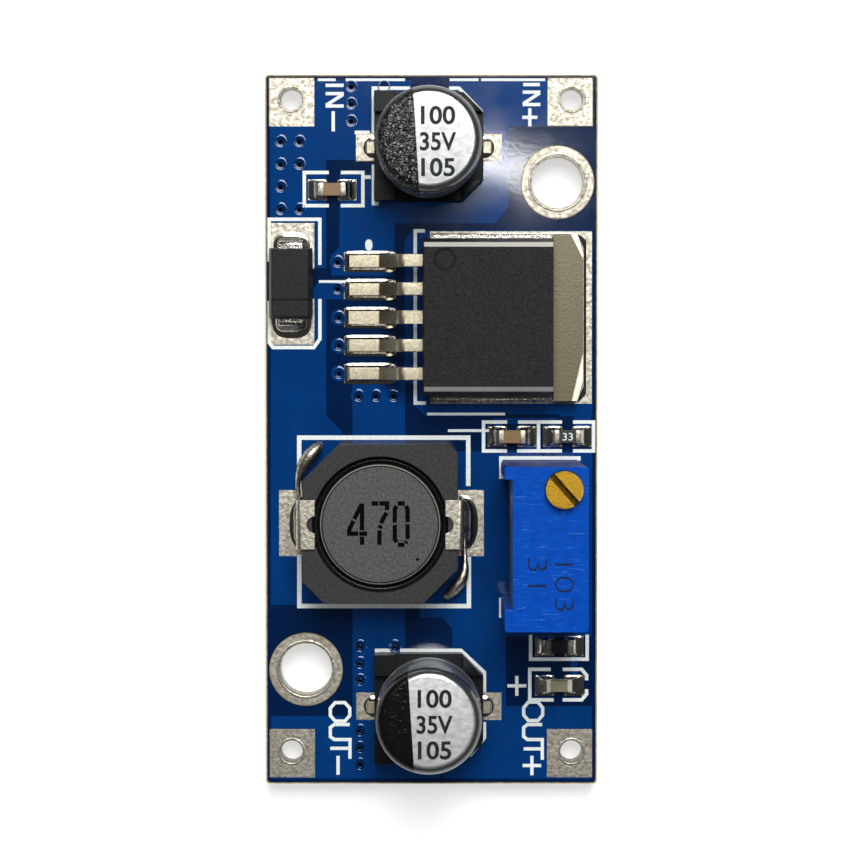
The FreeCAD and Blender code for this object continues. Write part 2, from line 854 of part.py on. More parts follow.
def make_regulator_body(metal):
    """The moulded block: a drafted base, a drafted top and a narrow bevel along both sides."""
    x, y = regulator_x, regulator_y
    parting = seat + lead_level
    top = seat + regulator_height
    shoulder = top - regulator_bevel_height
    draft = 2 * regulator_base_draft
    shoulder_length = regulator_length - 2 * regulator_end_draft
    widest = centred(x, y, regulator_length, regulator_width, parting)
    base = centred(x, y, regulator_length - draft, regulator_width - draft, seat)
    upper = centred(x, y, shoulder_length, regulator_shoulder_width, shoulder)
    crown_length = shoulder_length - 2 * regulator_end_bevel
    crown = centred(x, y, crown_length, regulator_top_width, top)
    body = fuse([frustum(base, widest), frustum(widest, upper), frustum(upper, crown)])
    mark_x = crown[0] + regulator_mark_from_end
    mark_y = crown[3] - regulator_mark_from_side
    mark = rod(mark_x, mark_y, regulator_mark_r, top - regulator_mark_depth, top)
    return body.cut(metal + [mark])


# Rectifier diode.

def make_diode_lead(side):
    """A flat lead that leaves the end of the body and is folded under it."""
    end = diode_y + side * diode_length / 2
    out = end + side * diode_lead_reach
    level = seat + diode_parting
    floor = seat + diode_lead_thickness / 2
    line = [
        (end - side * diode_lead_hold, level),
        (out, level),
        (out, floor),
        (out - side * diode_lead_fold, floor),
    ]
    outline = strip_outline(line, diode_lead_thickness, diode_bend_r)
    return end_prism(outline, diode_x, diode_lead_width)


def make_diode_body(leads):
    parting = seat + diode_parting
    draft_x = diode_width - diode_top_width
    draft_y = diode_length - diode_top_length
    widest = centred(diode_x, diode_y, diode_width, diode_length, parting)
    crown = centred(diode_x, diode_y, diode_top_width, diode_top_length, seat + diode_height)
    base = centred(diode_x, diode_y, diode_width - draft_x / 2, diode_length - draft_y / 2,
                   seat + diode_lead_thickness)
    return fuse([frustum(base, widest), frustum(widest, crown)]).cut(leads)


# Power inductor.

inductor_floor = seat + clip_thickness
shield_top = inductor_floor + shield_height


def make_shield():
    """The square ring of ferrite, with cut corners and a notch for each end of the wire."""
    half_x, half_y = shield_width / 2, shield_length / 2
    a, b, c = shield_chamfer_upper_left, shield_chamfer_lower_right, shield_chamfer_lower_left
    plan = [
        (-half_x + c, -half_y, 0),
        (half_x - b, -half_y, 0),
        (half_x, -half_y + b, 0),
        (half_x, half_y, shield_corner_r),
        (-half_x + a, half_y, 0),
        (-half_x, half_y - a, 0),
        (-half_x, -half_y + c, 0),
    ]
    shifted = [(inductor_x + u, inductor_y + v, r) for u, v, r in plan]
    ring = plate(shifted, inductor_floor, shield_height)
    opening = rod(inductor_x, inductor_y, shield_opening_r, inductor_floor, shield_top)
    slot = block(inductor_x, inductor_y, shield_notch_width, 2 * clip_span,
                 inductor_floor, inductor_floor + shield_notch_height)
    slot.rotate(V(inductor_x, inductor_y, 0), UP, 45)
    return ring.cut([opening, slot])


def make_drum():
    """The drum core: two flanges on a waist, the upper one bevelled."""
    top = shield_top - drum_drop
    lower = inductor_floor + drum_flange
    upper = top - drum_flange
    profile = [
        (0, inductor_floor, 0),
        (drum_r, inductor_floor, 0),
        (drum_r, lower, 0),
        (drum_waist_r, lower, 0),
        (drum_waist_r, upper, 0),
        (drum_r, upper, 0),
        (drum_r, top - drum_bevel, 0),
        (drum_r - drum_bevel, top, 0),
        (0, top, 0),
    ]
    return turned(profile, inductor_x, inductor_y)


def make_winding():
    lower = inductor_floor + drum_flange
    upper = shield_top - drum_drop - drum_flange
    profile = square_corners(drum_waist_r, drum_r - winding_gap, lower, upper)
    return turned(profile, inductor_x, inductor_y)


def make_clip():
    """The right clip: a foot under the core, a leg up its side and a fold over its top."""
    leg = inductor_x + clip_span / 2 - clip_thickness / 2
    foot_z = seat + clip_thickness / 2
    fold_z = shield_top + clip_thickness / 2
    fold_end = inductor_x + clip_span / 2 - clip_fold
    line = [(leg - clip_foot, foot_z), (leg, foot_z), (leg, fold_z), (fold_end, fold_z)]
    outline = strip_outline(line, clip_thickness, clip_bend_r)
    clip = side_prism(outline, inductor_y, clip_width)
    return clip.cut(rod(fold_end, inductor_y, clip_notch_r, fold_z - clip_thickness,
                        fold_z + clip_thickness))


def make_wire_end():
    """The end of the coil's wire: out through the notch and round to the left clip's edge."""
    level = inductor_floor + wire_r + (shield_notch_height - 2 * wire_r) / 2
    leg = shield_width / 2 + wire_r + wire_gap
    start = drum_r / math.sqrt(2)
    cut_corner = (shield_width + shield_length) / 4 - shield_chamfer_upper_left / 2
    corner = cut_corner + wire_from_corner
    points = [
        (-start, start),
        (-corner, corner),
        (-leg, clip_width / 2 + wire_run_down),
        (-leg, clip_width / 2),
    ]
    line = [V(inductor_x + u, inductor_y + v, level) for u, v in points]
    return bent_rod(line, wire_r, wire_bend_r)


# Can capacitors.

can_bottom = seat + base_plate
can_top = can_bottom + can_height
seal_bottom = can_bottom + can_wall
seal_top = can_bottom + can_bead_height


def make_can(x, y):
    """A drawn can: rolled top edge, a bead that grips the seal, and a lip curled under it."""
    bead_low = can_bead_height - can_bead_width / 2
    bead_high = can_bead_height + can_bead_width / 2
    neck = can_r - can_bead_depth
    inner = can_r - can_wall
    soft = can_bead_depth / 2
    outline = [
        (can_lip_r, can_bottom, 0),
        (can_r, can_bottom, can_foot_r),
        (can_r, can_bottom + bead_low, 0),
        (neck, can_bottom + can_bead_height, soft),
        (can_r, can_bottom + bead_high, 0),
        (can_r, can_top, can_edge_r),
        (0, can_top, 0),
        (0, can_top - can_wall, 0),
        (inner, can_top - can_wall, 0),
        (inner, can_bottom + bead_high, 0),
        (neck - can_wall, can_bottom + can_bead_height, 0),
        (inner, can_bottom + bead_low, 0),
        (inner, seal_bottom, 0),
        (can_lip_r, seal_bottom, 0),
    ]
    return turned(outline, x, y)


def capacitor_pins(x, y, radius):
    top = seal_top + capacitor_pin_above_seal
    return [rod(x + side * capacitor_pin_x, y, radius, seat, top) for side in (-1, 1)]


def make_base(x, y):
    """The black base: a plate with cut corners on one side and posts that hold the can."""
    half = base_size / 2
    plan = [
        (x - half, y - half, 0),
        (x + half - base_chamfer, y - half, 0),
        (x + half, y - half + base_chamfer, 0),
        (x + half, y + half - base_chamfer, 0),
        (x + half - base_chamfer, y + half, 0),
        (x - half, y + half, 0),
    ]
    sheet = plate(plan, seat, base_plate)
    posts = plate(plan, can_bottom, base_post_height)
    high = can_bottom + base_post_height
    posts = posts.cut([
        rod(x, y, can_r + base_can_gap, can_bottom, high),
        block(x, y, 2 * base_post_half, 2 * base_size, can_bottom, high),
        block(x, y, 2 * base_size, 2 * base_post_half, can_bottom, high),
    ])
    groove = block(x, y, 2 * base_size, capacitor_lead_width, seat, seat + capacitor_lead_thickness)
    return fuse([sheet] + posts.Solids).cut([groove] + capacitor_pins(x, y, capacitor_pin_r))


def make_seal(x, y):
    """The rubber plug, gripped by the can's bead and pierced by both pins."""
    inner = can_r - can_wall
    bead_low = can_bottom + can_bead_height - can_bead_width / 2
    outline = [
        (0, seal_bottom, 0),
        (inner, seal_bottom, 0),
        (inner, bead_low, 0),
        (inner - can_bead_depth, seal_top, 0),
        (0, seal_top, 0),
    ]
    return turned(outline, x, y).cut(capacitor_pins(x, y, capacitor_pin_r))


def make_roll(x, y):
    """The rolled foil element, which stands on the seal."""
    roll = rod(x, y, roll_r, seal_top, can_top - can_wall - roll_clearance)
    return roll.cut(capacitor_pins(x, y, capacitor_pin_r))


def make_capacitor_leads(x, y):
    """Two flat feet under the base, each one piece with a pin up through the seal."""
    leads = []
    outer = base_size / 2 + capacitor_lead_reach
    half = capacitor_lead_width / 2
    for side, pin in zip((-1, 1), capacitor_pins(x, y, capacitor_pin_r)):
        ends = sorted((x + side * (capacitor_pin_x - half), x + side * outer))
        foot = box(*ends, y - half, y + half, seat, seat + capacitor_lead_thickness)
        leads.append(fuse([foot, pin]))
    return group(leads)


# Multi-turn trimmer.

trimmer_x0 = trimmer_x - trimmer_width / 2
trimmer_x1 = trimmer_x + trimmer_width / 2
trimmer_y0 = trimmer_y - trimmer_length / 2
trimmer_y1 = trimmer_y + trimmer_length / 2
trimmer_top = board_thickness + trimmer_height
trimmer_bottom = board_thickness + trimmer_standoff
screw_x = trimmer_x1 - screw_from_side
screw_y = trimmer_y1 - screw_bore_wall - screw_head_r - screw_clearance
screw_top = trimmer_top + screw_head_rise
channel_r = worm_outer_r + screw_clearance
cavity_x0 = trimmer_x0 + trimmer_recess
cavity_x1 = trimmer_x1 - trimmer_side_wall
cavity_y0 = trimmer_y0 + trimmer_end_wall
cavity_y1 = screw_y + channel_r
cavity_z0 = trimmer_bottom + trimmer_floor
cavity_z1 = trimmer_top - trimmer_top_wall
ledge_z = cavity_z1 + screw_head_ledge
wheel_pitch_r = wheel_teeth * worm_pitch / (2 * math.pi)
wheel_y = screw_y - worm_pitch_r - wheel_pitch_r
wheel_z = (cavity_z0 + cavity_z1) / 2
wheel_outer_r = wheel_pitch_r + wheel_addendum
wheel_x0 = screw_x - wheel_width / 2
hub_x0 = wheel_x0 - wheel_hub_length
plate_x0 = cavity_x0 + back_seal_thickness
plate_x1 = plate_x0 + plate_thickness
flank = math.tan(math.radians(flank_angle))


def pin_line(x, y):
    """A pin rises through the floor and turns to meet the ceramic plate."""
    level = cavity_z0 + pin_inner_rise
    return [V(x, y, -pin_below), V(x, y, level), V(plate_x1, y, level)]


def make_pins():
    return group([bent_rod(pin_line(x, y), pin_r, pin_bend_r) for x, y in trimmer_pins])


def make_housing():
    """The blue housing: open at the back for its works, with the screw's bore at one end."""
    outline = square_corners(trimmer_x0, trimmer_x1, trimmer_y0, trimmer_y1, trimmer_edge_r)
    shell = plate(outline, trimmer_bottom, trimmer_top - trimmer_bottom)
    feet = [
        box(trimmer_x0 + trimmer_recess, trimmer_x1, trimmer_y0, trimmer_y0 + trimmer_foot_length,
            board_thickness, trimmer_bottom),
        box(trimmer_x0 + trimmer_recess, trimmer_x1, trimmer_y1 - trimmer_foot_length, trimmer_y1,
            board_thickness, trimmer_bottom),
    ]
    recess = box(trimmer_x0, cavity_x0, trimmer_y0 + trimmer_lower_rib,
                 trimmer_y1 - trimmer_upper_rib, trimmer_bottom, trimmer_top)
    cavity = box(cavity_x0, cavity_x1, cavity_y0, cavity_y1, cavity_z0, cavity_z1)
    bores = [
        rod(screw_x, screw_y, screw_head_r + screw_clearance, ledge_z, trimmer_top),
        rod(screw_x, screw_y, channel_r, cavity_z1, ledge_z),
        rod(screw_x, screw_y, screw_pilot_r + screw_clearance,
            cavity_z0 - screw_pilot_depth - screw_clearance, cavity_z0),
    ]
    bores += [rod(x, y, pin_r + pin_clearance, trimmer_bottom, cavity_z0)
              for x, y in trimmer_pins]
    axle = turned_on_x([
        (hub_x0, 0, 0), (cavity_x1, 0, 0), (cavity_x1, axle_r, 0), (hub_x0, axle_r, 0),
    ], wheel_y, wheel_z)
    return fuse([fuse([shell] + feet).cut([recess, cavity] + bores), axle])


def make_back_seal():
    """The cast resin that closes the back."""
    return box(cavity_x0, plate_x0, cavity_y0, cavity_y1, cavity_z0, cavity_z1)


def make_ceramic():
    return box(plate_x0, plate_x1, cavity_y0, cavity_y1, cavity_z0, cavity_z1)


def make_track():
    """The printed resistance track, an open ring, and the collector spot in its middle."""
    x1 = plate_x1 + track_thickness
    inner, outer = track_r - track_width / 2, track_r + track_width / 2
    ring = turned_on_x([(plate_x1, inner, 0), (x1, inner, 0), (x1, outer, 0),
                        (plate_x1, outer, 0)], wheel_y, wheel_z)
    reach = 2 * track_r * math.tan(math.radians(track_open_angle / 2))
    wedge = end_prism([(wheel_y, wheel_z, 0), (wheel_y - reach, wheel_z - 2 * track_r, 0),
                       (wheel_y + reach, wheel_z - 2 * track_r, 0)], plate_x1, 1)
    spot = turned_on_x([(plate_x1, 0, 0), (x1, 0, 0), (x1, collector_r, 0),
                        (plate_x1, collector_r, 0)], wheel_y, wheel_z)
    return group([ring.cut(wedge), spot])


def make_worm_thread():
    """A right-handed thread of constant pitch, in step with the wheel's gap beside it."""
    start_z = wheel_z - (worm_turns / 2 - 0.25) * worm_pitch
    helix = Part.makeHelix(worm_pitch, worm_turns * worm_pitch, worm_pitch_r)
    root_r = worm_core_r - worm_root_sink
    root = worm_thread_width / 2 + (worm_pitch_r - root_r) * flank
    tip = worm_thread_width / 2 - (worm_outer_r - worm_pitch_r) * flank
    section = Part.makePolygon([
        V(root_r, 0, -root), V(worm_outer_r, 0, -tip), V(worm_outer_r, 0, tip),
        V(root_r, 0, root), V(root_r, 0, -root),
    ])
    thread = Part.Wire(helix.Edges).makePipeShell([section], True, True)
    thread.translate(V(screw_x, screw_y, start_z))
    return thread


def make_screw():
    """The brass adjusting screw: slotted head, seal groove, worm and pilot in one piece."""
    head_bottom = ledge_z + screw_clearance
    groove_z = ledge_z + seal_ring_above_ledge
    groove = groove_z - seal_ring_section_r, groove_z + seal_ring_section_r
    core_bottom = cavity_z0 + screw_clearance
    pilot_bottom = cavity_z0 - screw_pilot_depth
    waist = screw_head_r - 2 * seal_ring_section_r
    outline = [
        (0, pilot_bottom, 0),
        (screw_pilot_r, pilot_bottom, 0),
        (screw_pilot_r, core_bottom, 0),
        (worm_core_r, core_bottom, 0),
        (worm_core_r, head_bottom, 0),
        (screw_head_r, head_bottom, 0),
        (screw_head_r, groove[0], 0),
        (waist, groove[0], 0),
        (waist, groove[1], 0),
        (screw_head_r, groove[1], 0),
        (screw_head_r, screw_top - screw_head_chamfer, 0),
        (screw_head_r - screw_head_chamfer, screw_top, 0),
        (0, screw_top, 0),
    ]
    shaft = turned(outline, screw_x, screw_y)
    slot = block(screw_x, screw_y, 3 * screw_head_r, screw_slot_width,
                 screw_top - screw_slot_depth, screw_top)
    slot.rotate(V(screw_x, screw_y, 0), UP, screw_slot_angle)
    return fuse([shaft.cut(slot), make_worm_thread()])


def make_seal_ring():
    """The rubber ring in the screw's groove."""
    ring = Part.makeTorus(screw_head_r - seal_ring_section_r, seal_ring_section_r)
    ring.translate(V(screw_x, screw_y, ledge_z + seal_ring_above_ledge))
    return ring


def make_wheel():
    """The worm wheel. Its gaps lean by the worm's lead angle, as cut by a hob."""
    x1 = screw_x + wheel_width / 2
    bore = axle_r + axle_clearance
    outline = [
        (hub_x0, bore, 0), (x1, bore, 0), (x1, wheel_outer_r, 0), (wheel_x0, wheel_outer_r, 0),
        (wheel_x0, wheel_hub_r, 0), (hub_x0, wheel_hub_r, 0),
    ]
    disc = turned_on_x(outline, wheel_y, wheel_z)
    root_r = wheel_pitch_r - wheel_dedendum
    over_r = wheel_outer_r + wheel_addendum
    root = wheel_gap_width / 2 - wheel_dedendum * flank
    wide = wheel_gap_width / 2 + (over_r - wheel_pitch_r) * flank
    gap = end_prism([
        (wheel_y + root_r, wheel_z - root, 0), (wheel_y + over_r, wheel_z - wide, 0),
        (wheel_y + over_r, wheel_z + wide, 0), (wheel_y + root_r, wheel_z + root, 0),
    ], screw_x, 2 * wheel_width)
    lead_angle = math.degrees(math.atan(worm_pitch / (2 * math.pi * worm_pitch_r)))
    gap.rotate(V(screw_x, wheel_y, wheel_z), ALONG_Y, -lead_angle)
    gaps = []
    for i in range(wheel_teeth):
        copy = gap.copy()
        copy.rotate(V(screw_x, wheel_y, wheel_z), ALONG_X, i * 360 / wheel_teeth)
        gaps.append(copy)
    return disc.cut(gaps)


def make_wiper():
    """The sprung contact on the wheel's hub: one arm on the track, one on the collector."""
    ring = turned_on_x([
        (hub_x0 - wiper_thickness, axle_r, 0), (hub_x0, axle_r, 0), (hub_x0, wiper_ring_r, 0),
        (hub_x0 - wiper_thickness, wiper_ring_r, 0),
    ], wheel_y, wheel_z)
    flat_x = hub_x0 - wiper_thickness / 2
    touch_x = plate_x1 + track_thickness + wiper_gap + wiper_thickness / 2
    knee = (axle_r + wiper_ring_r) / 2
    outward = [
        (flat_x, wheel_y + knee - wiper_ring_r / 4),
        (flat_x, wheel_y + wiper_ring_r + wiper_bend_r),
        (touch_x, wheel_y + track_r - track_width / 4),
        (touch_x, wheel_y + track_r + track_width / 2),
    ]
    inward = [
        (flat_x, wheel_y - knee - wiper_ring_r / 6),
        (flat_x, wheel_y - knee + wiper_bend_r / 2),
        (touch_x, wheel_y - collector_r / 2),
        (touch_x, wheel_y + collector_r / 2),
    ]
    arms = []
    for line in (outward, inward):
        outline = strip_outline(line, wiper_thickness, wiper_bend_r / 2)
        arms.append(plate(outline, wheel_z - wiper_arm_width / 2, wiper_arm_width))
    return fuse([ring] + arms)


def make_trimmer_solder():
    """Solder fills each plated hole and stands as a cone round the pin underneath."""
    cone_bottom = land_bottom - pin_cone_height
    outline = [
        (pin_r, board_thickness, 0),
        (pin_hole_r, board_thickness, 0),
        (pin_hole_r, land_bottom, 0),
        (pin_land_r, land_bottom, 0),
        (pin_r + pin_cone_waist, cone_bottom + pin_cone_height / 2, 0),
        (pin_r, cone_bottom, 0),
    ]
    return group([turned(outline, x, y) for x, y in trimmer_pins])


# Chip parts.

def make_chip_body(x, y, height):
    wall = 2 * chip_end_wall
    return block(x, y, chip_length - wall, chip_width - wall, seat + chip_end_wall,
                 seat + height - chip_end_wall)


def make_chip_ends(x, y, height):
    """Metal caps on both ends of a chip."""
    whole = block(x, y, chip_length, chip_width, seat, seat + height)
    middle = block(x, y, chip_length - 2 * chip_end, chip_width, seat, seat + height)
    return group(whole.cut([middle, make_chip_body(x, y, height)]).Solids)


def make_lamp_body():
    wall = 2 * chip_end_wall
    return block(lamp_x, lamp_y, chip_length - wall, chip_width - wall, seat + chip_end_wall,
                 seat + lamp_base_height)


def make_lamp_ends():
    whole = block(lamp_x, lamp_y, chip_length, chip_width, seat, seat + lamp_base_height)
    middle = block(lamp_x, lamp_y, chip_length - 2 * chip_end, chip_width, seat,
                   seat + lamp_base_height)
    return group(whole.cut([middle, make_lamp_body()]).Solids)


def make_lens():
    low = seat + lamp_base_height
    draft = 2 * lamp_lens_draft
    lower = centred(lamp_x, lamp_y, lamp_lens_length, chip_width - 2 * chip_end_wall, low)
    upper = centred(lamp_x, lamp_y, lamp_lens_length - draft, chip_width - draft,
                    low + lamp_lens_height)
    return frustum(lower, upper)


# Solder fillets on the top face.

def make_solder():
    bars = []
    tip = lead_line()[0][0]
    for y in lead_places():
        bars.append(fillet_bar(tip, y, lead_width, lead_land_reach, lead_thickness / 2, 180))
    tab_tip = regulator_x + regulator_length / 2 + tab_reach
    tab_edge = tab_width - 2 * tab_chamfer_y
    bars.append(fillet_bar(tab_tip, regulator_y, tab_edge, tab_land_reach, tab_thickness / 2, 0))
    for side in (-1, 1):
        end = diode_y + side * (diode_length / 2 + diode_lead_reach + diode_lead_thickness / 2)
        run = diode_land_gap / 2 + diode_land_length - abs(end - diode_y)
        bars.append(fillet_bar(diode_x, end, diode_lead_width, run, diode_parting / 2, 90 * side))
    for side in (-1, 1):
        end = inductor_x + side * clip_span / 2
        run = inductor_land_beyond_clip
        bars.append(fillet_bar(end, inductor_y, clip_width, run, run, 90 - 90 * side))
    reach = base_size / 2 + capacitor_lead_reach
    for y in (input_capacitor_y, output_capacitor_y):
        for side in (-1, 1):
            bars.append(fillet_bar(capacitor_x + side * reach, y, capacitor_lead_width,
                                   capacitor_land_half_span - reach, capacitor_lead_thickness,
                                   90 - 90 * side))
    run = chip_land_half_span - chip_length / 2
    for name, (x, y) in chip_places.items():
        rise = chip_heights[name] * chip_fillet_share
        for side in (-1, 1):
            bars.append(fillet_bar(x + side * chip_length / 2, y, chip_width, run, rise,
                                   90 - 90 * side))
    return group(bars)


# The whole board, one named piece at a time.

top_copper = make_top_copper()
bottom_copper = make_bottom_copper()
nodes = {
    "circuit_board": make_board(),
    "copper_top": top_copper,
    "copper_bottom": bottom_copper,
    "solder_mask_top": make_top_mask(top_copper),
    "solder_mask_bottom": make_bottom_mask(bottom_copper),
    "via_barrels": make_vias(),
    "component_lands": make_lands(),
}
for name, (x, y) in terminals.items():
    nodes["terminal_pad_" + name] = make_terminal_pad(x, y)
for name, (x, y) in mounting_holes.items():
    nodes["mounting_ring_" + name] = make_mounting_ring(x, y)

regulator_tab = make_tab()
regulator_metal = [regulator_tab]
middle_lead = (lead_count - 1) // 2
for i, y in enumerate(lead_places()):
    if i != middle_lead:
        lead = make_lead(y)
        nodes[f"regulator_lead_{i + 1}"] = lead
        regulator_metal.append(lead)
nodes["regulator_tab"] = regulator_tab
nodes["regulator_body"] = make_regulator_body(regulator_metal)

nodes["diode_cathode_lead"] = make_diode_lead(-1)
nodes["diode_anode_lead"] = make_diode_lead(1)
nodes["diode_body"] = make_diode_body([nodes["diode_cathode_lead"], nodes["diode_anode_lead"]])

clip = make_clip()
wire_end = make_wire_end()
nodes["inductor_shield"] = make_shield()
nodes["inductor_drum_core"] = make_drum()
nodes["inductor_winding"] = make_winding()
nodes["inductor_clip_right"] = clip
nodes["inductor_clip_left"] = half_turn(clip, inductor_x, inductor_y)
nodes["inductor_wire_ends"] = group([wire_end, half_turn(wire_end, inductor_x, inductor_y)])

for name, y in (("input", input_capacitor_y), ("output", output_capacitor_y)):
    nodes[f"{name}_capacitor_can"] = make_can(capacitor_x, y)
    nodes[f"{name}_capacitor_base"] = make_base(capacitor_x, y)
    nodes[f"{name}_capacitor_seal"] = make_seal(capacitor_x, y)
    nodes[f"{name}_capacitor_roll"] = make_roll(capacitor_x, y)
    nodes[f"{name}_capacitor_leads"] = make_capacitor_leads(capacitor_x, y)

nodes["trimmer_housing"] = make_housing()
nodes["trimmer_back_seal"] = make_back_seal()
nodes["trimmer_ceramic_plate"] = make_ceramic()
nodes["trimmer_track"] = make_track()
nodes["trimmer_screw"] = make_screw()
nodes["trimmer_seal_ring"] = make_seal_ring()
nodes["trimmer_worm_wheel"] = make_wheel()
nodes["trimmer_wiper"] = make_wiper()
nodes["trimmer_pins"] = make_pins()
nodes["trimmer_solder"] = make_trimmer_solder()

for name, (x, y) in chip_places.items():
    if name != "lamp":
        nodes[name + "_body"] = make_chip_body(x, y, chip_heights[name])
        nodes[name + "_ends"] = make_chip_ends(x, y, chip_heights[name])
nodes["lamp_body"] = make_lamp_body()
nodes["lamp_ends"] = make_lamp_ends()
nodes["lamp_lens"] = make_lens()
nodes["solder_fillets"] = make_solder()

for name, shape in nodes.items():
    shape.exportStep(f"parts/{name}.step")
print(len(nodes), "pieces written")
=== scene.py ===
# %% [markdown]
# # A buck converter module, dressed for its portrait
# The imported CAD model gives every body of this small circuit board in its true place. This
# lesson gives each of them the finish of its real material, prints the white legend, and adds
# what is too fine for the solids: ink, solder menisci, printed marks. Lengths are written in
# millimetres and are multiplied by mm where they enter Blender, which counts in metres.

# %% Load the frame and keep its box
import json
import math

import bmesh
import bpy
import numpy as np
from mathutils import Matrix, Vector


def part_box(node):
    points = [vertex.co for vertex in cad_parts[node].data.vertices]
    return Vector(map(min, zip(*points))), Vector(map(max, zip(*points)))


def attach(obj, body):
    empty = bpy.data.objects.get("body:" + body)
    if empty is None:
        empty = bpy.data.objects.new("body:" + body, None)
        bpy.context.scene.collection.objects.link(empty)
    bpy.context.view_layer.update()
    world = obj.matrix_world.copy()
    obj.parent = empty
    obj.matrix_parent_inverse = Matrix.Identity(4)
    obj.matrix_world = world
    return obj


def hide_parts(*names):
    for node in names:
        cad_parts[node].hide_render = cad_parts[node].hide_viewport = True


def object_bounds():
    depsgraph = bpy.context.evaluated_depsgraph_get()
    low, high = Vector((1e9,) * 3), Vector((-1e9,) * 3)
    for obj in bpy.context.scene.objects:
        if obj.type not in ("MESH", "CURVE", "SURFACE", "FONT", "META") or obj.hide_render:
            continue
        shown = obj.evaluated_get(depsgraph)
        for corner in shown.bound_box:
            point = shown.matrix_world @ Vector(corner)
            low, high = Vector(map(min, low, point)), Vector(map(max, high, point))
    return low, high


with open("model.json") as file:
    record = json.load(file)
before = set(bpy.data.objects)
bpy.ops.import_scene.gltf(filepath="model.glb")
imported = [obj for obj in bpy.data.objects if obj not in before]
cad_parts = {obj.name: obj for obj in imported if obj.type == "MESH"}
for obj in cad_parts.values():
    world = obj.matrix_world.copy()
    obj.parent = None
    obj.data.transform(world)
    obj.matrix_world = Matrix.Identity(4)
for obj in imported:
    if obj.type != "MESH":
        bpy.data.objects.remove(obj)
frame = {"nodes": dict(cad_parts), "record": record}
cad_box = [[float(value) for value in corner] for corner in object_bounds()]
nodes = frame["nodes"]
slot_of = {part["node"]: part["material_slot"] for part in frame["record"]["subparts"]}
mm = 0.001
print("nodes:", len(nodes), "box in mm:", np.round(np.array(cad_box) / mm, 2).tolist())

# %% [markdown]
# ## The camera
# The photograph looks straight down with a long lens. A camera 180 mm above the board sees
# 52 mm of it across the frame, and 1.6 degrees of tilt puts the tall parts where the
# photograph has them. A shift of the lens would do the same, but then every other view would
# be off centre too.

# %% Place the camera
camera_place = np.array([-0.03, 4.71, 181.6])
camera_target = np.array([-0.03, -0.286, 1.6])
camera_lens = 123.45
sensor_width = 36.0

look = camera_target - camera_place
camera_data = bpy.data.cameras.new("camera")
camera_data.lens = camera_lens
camera_data.sensor_width = sensor_width
camera_data.clip_start = 1 * mm
camera_data.clip_end = 5.0
camera = bpy.data.objects.new("camera", camera_data)
camera.location = camera_place * mm
camera.rotation_euler = (math.atan2(look[1], -look[2]), 0, 0)
bpy.context.scene.collection.objects.link(camera)
bpy.context.scene.camera = camera
bpy.context.scene.view_settings.view_transform = "Standard"
print("camera tilt in degrees:", round(math.degrees(camera.rotation_euler[0]), 2))

# %% [markdown]
# ## Colours and nodes
# Colours are written as sRGB hex values, as a paint program shows them, and one function turns
# them to the linear light that Blender reckons with. One more function adds a shader node with
# its settings and its links, so that each material below reads as a list of what it is made of.


# %% A colour and a node
def linear(hex_colour):
    """sRGB to linear: a value under 0.04045 is divided by 12.92, and any other v is
    ((v + 0.055) / 1.055) to the power 2.4."""
    values = np.array([int(hex_colour[i:i + 2], 16) for i in (1, 3, 5)]) / 255
    low = values / 12.92
    high = ((values + 0.055) / 1.055) ** 2.4
    return (*np.where(values <= 0.04045, low, high).tolist(), 1.0)


def add(tree, kind, inputs=None, **settings):
    """Adds one node of this kind, with its own settings, and links or sets its inputs."""
    node = tree.nodes.new("ShaderNode" + kind)
    for name, value in settings.items():
        setattr(node, name, value)
    for name, value in (inputs or {}).items():
        if isinstance(value, bpy.types.NodeSocket):
            tree.links.new(value, node.inputs[name])
        else:
            node.inputs[name].default_value = value
    return node


print("middle grey as linear light:", round(linear("#808080")[0], 3))

# %% [markdown]
# ## Light, floor and background
# The board lies on a white table. One large soft lamp hangs high above its input end, so the
# shadows are short and soft and fall towards the output end, and the sky's even light fills
# them. A second, narrow and weak lamp gives the lacquer its small patch of glare.

# %% Hang the lamps
softbox_place, softbox_size, softbox_power = np.array([14.0, 135.0, 300.0]), (170.0, 120.0), 0.94
glare_place, glare_size, glare_power = np.array([13.6, 41.0, 400.0]), (4.5, 24.0), 0.014


def hang_lamp(name, place, size, power):
    """A soft rectangular lamp of this size, turned to face the middle of the board."""
    data = bpy.data.lights.new(name, "AREA")
    data.shape = "RECTANGLE"
    data.size = size[0] * mm
    data.size_y = size[1] * mm
    data.energy = power
    lamp = bpy.data.objects.new(name, data)
    lamp.location = place * mm
    flat = math.hypot(place[0], place[1])
    lamp.rotation_euler = (0, math.atan2(flat, place[2]), math.atan2(place[1], place[0]))
    bpy.context.scene.collection.objects.link(lamp)
    print(name, "hangs", round(float(np.linalg.norm(place))), "mm away, at", power, "W")


hang_lamp("softbox", softbox_place, softbox_size, softbox_power)
hang_lamp("glare", glare_place, glare_size, glare_power)

# %% [markdown]
# What mirrors see is a white horizon under a dark ceiling, as in a room whose only light is the
# lamp: this keeps the lacquer deep blue and gives the solder its dark flanks. A picture of a
# real room would do this too, but a ramp over the direction's height is all that it needs. The
# camera sees plain white, and matt surfaces get an even grey light.

# %% Make the sky
sky_light = 0.31
horizon_glow, ceiling_glow = 0.95, 0.045
horizon_height, ceiling_height = 0.02, 0.32

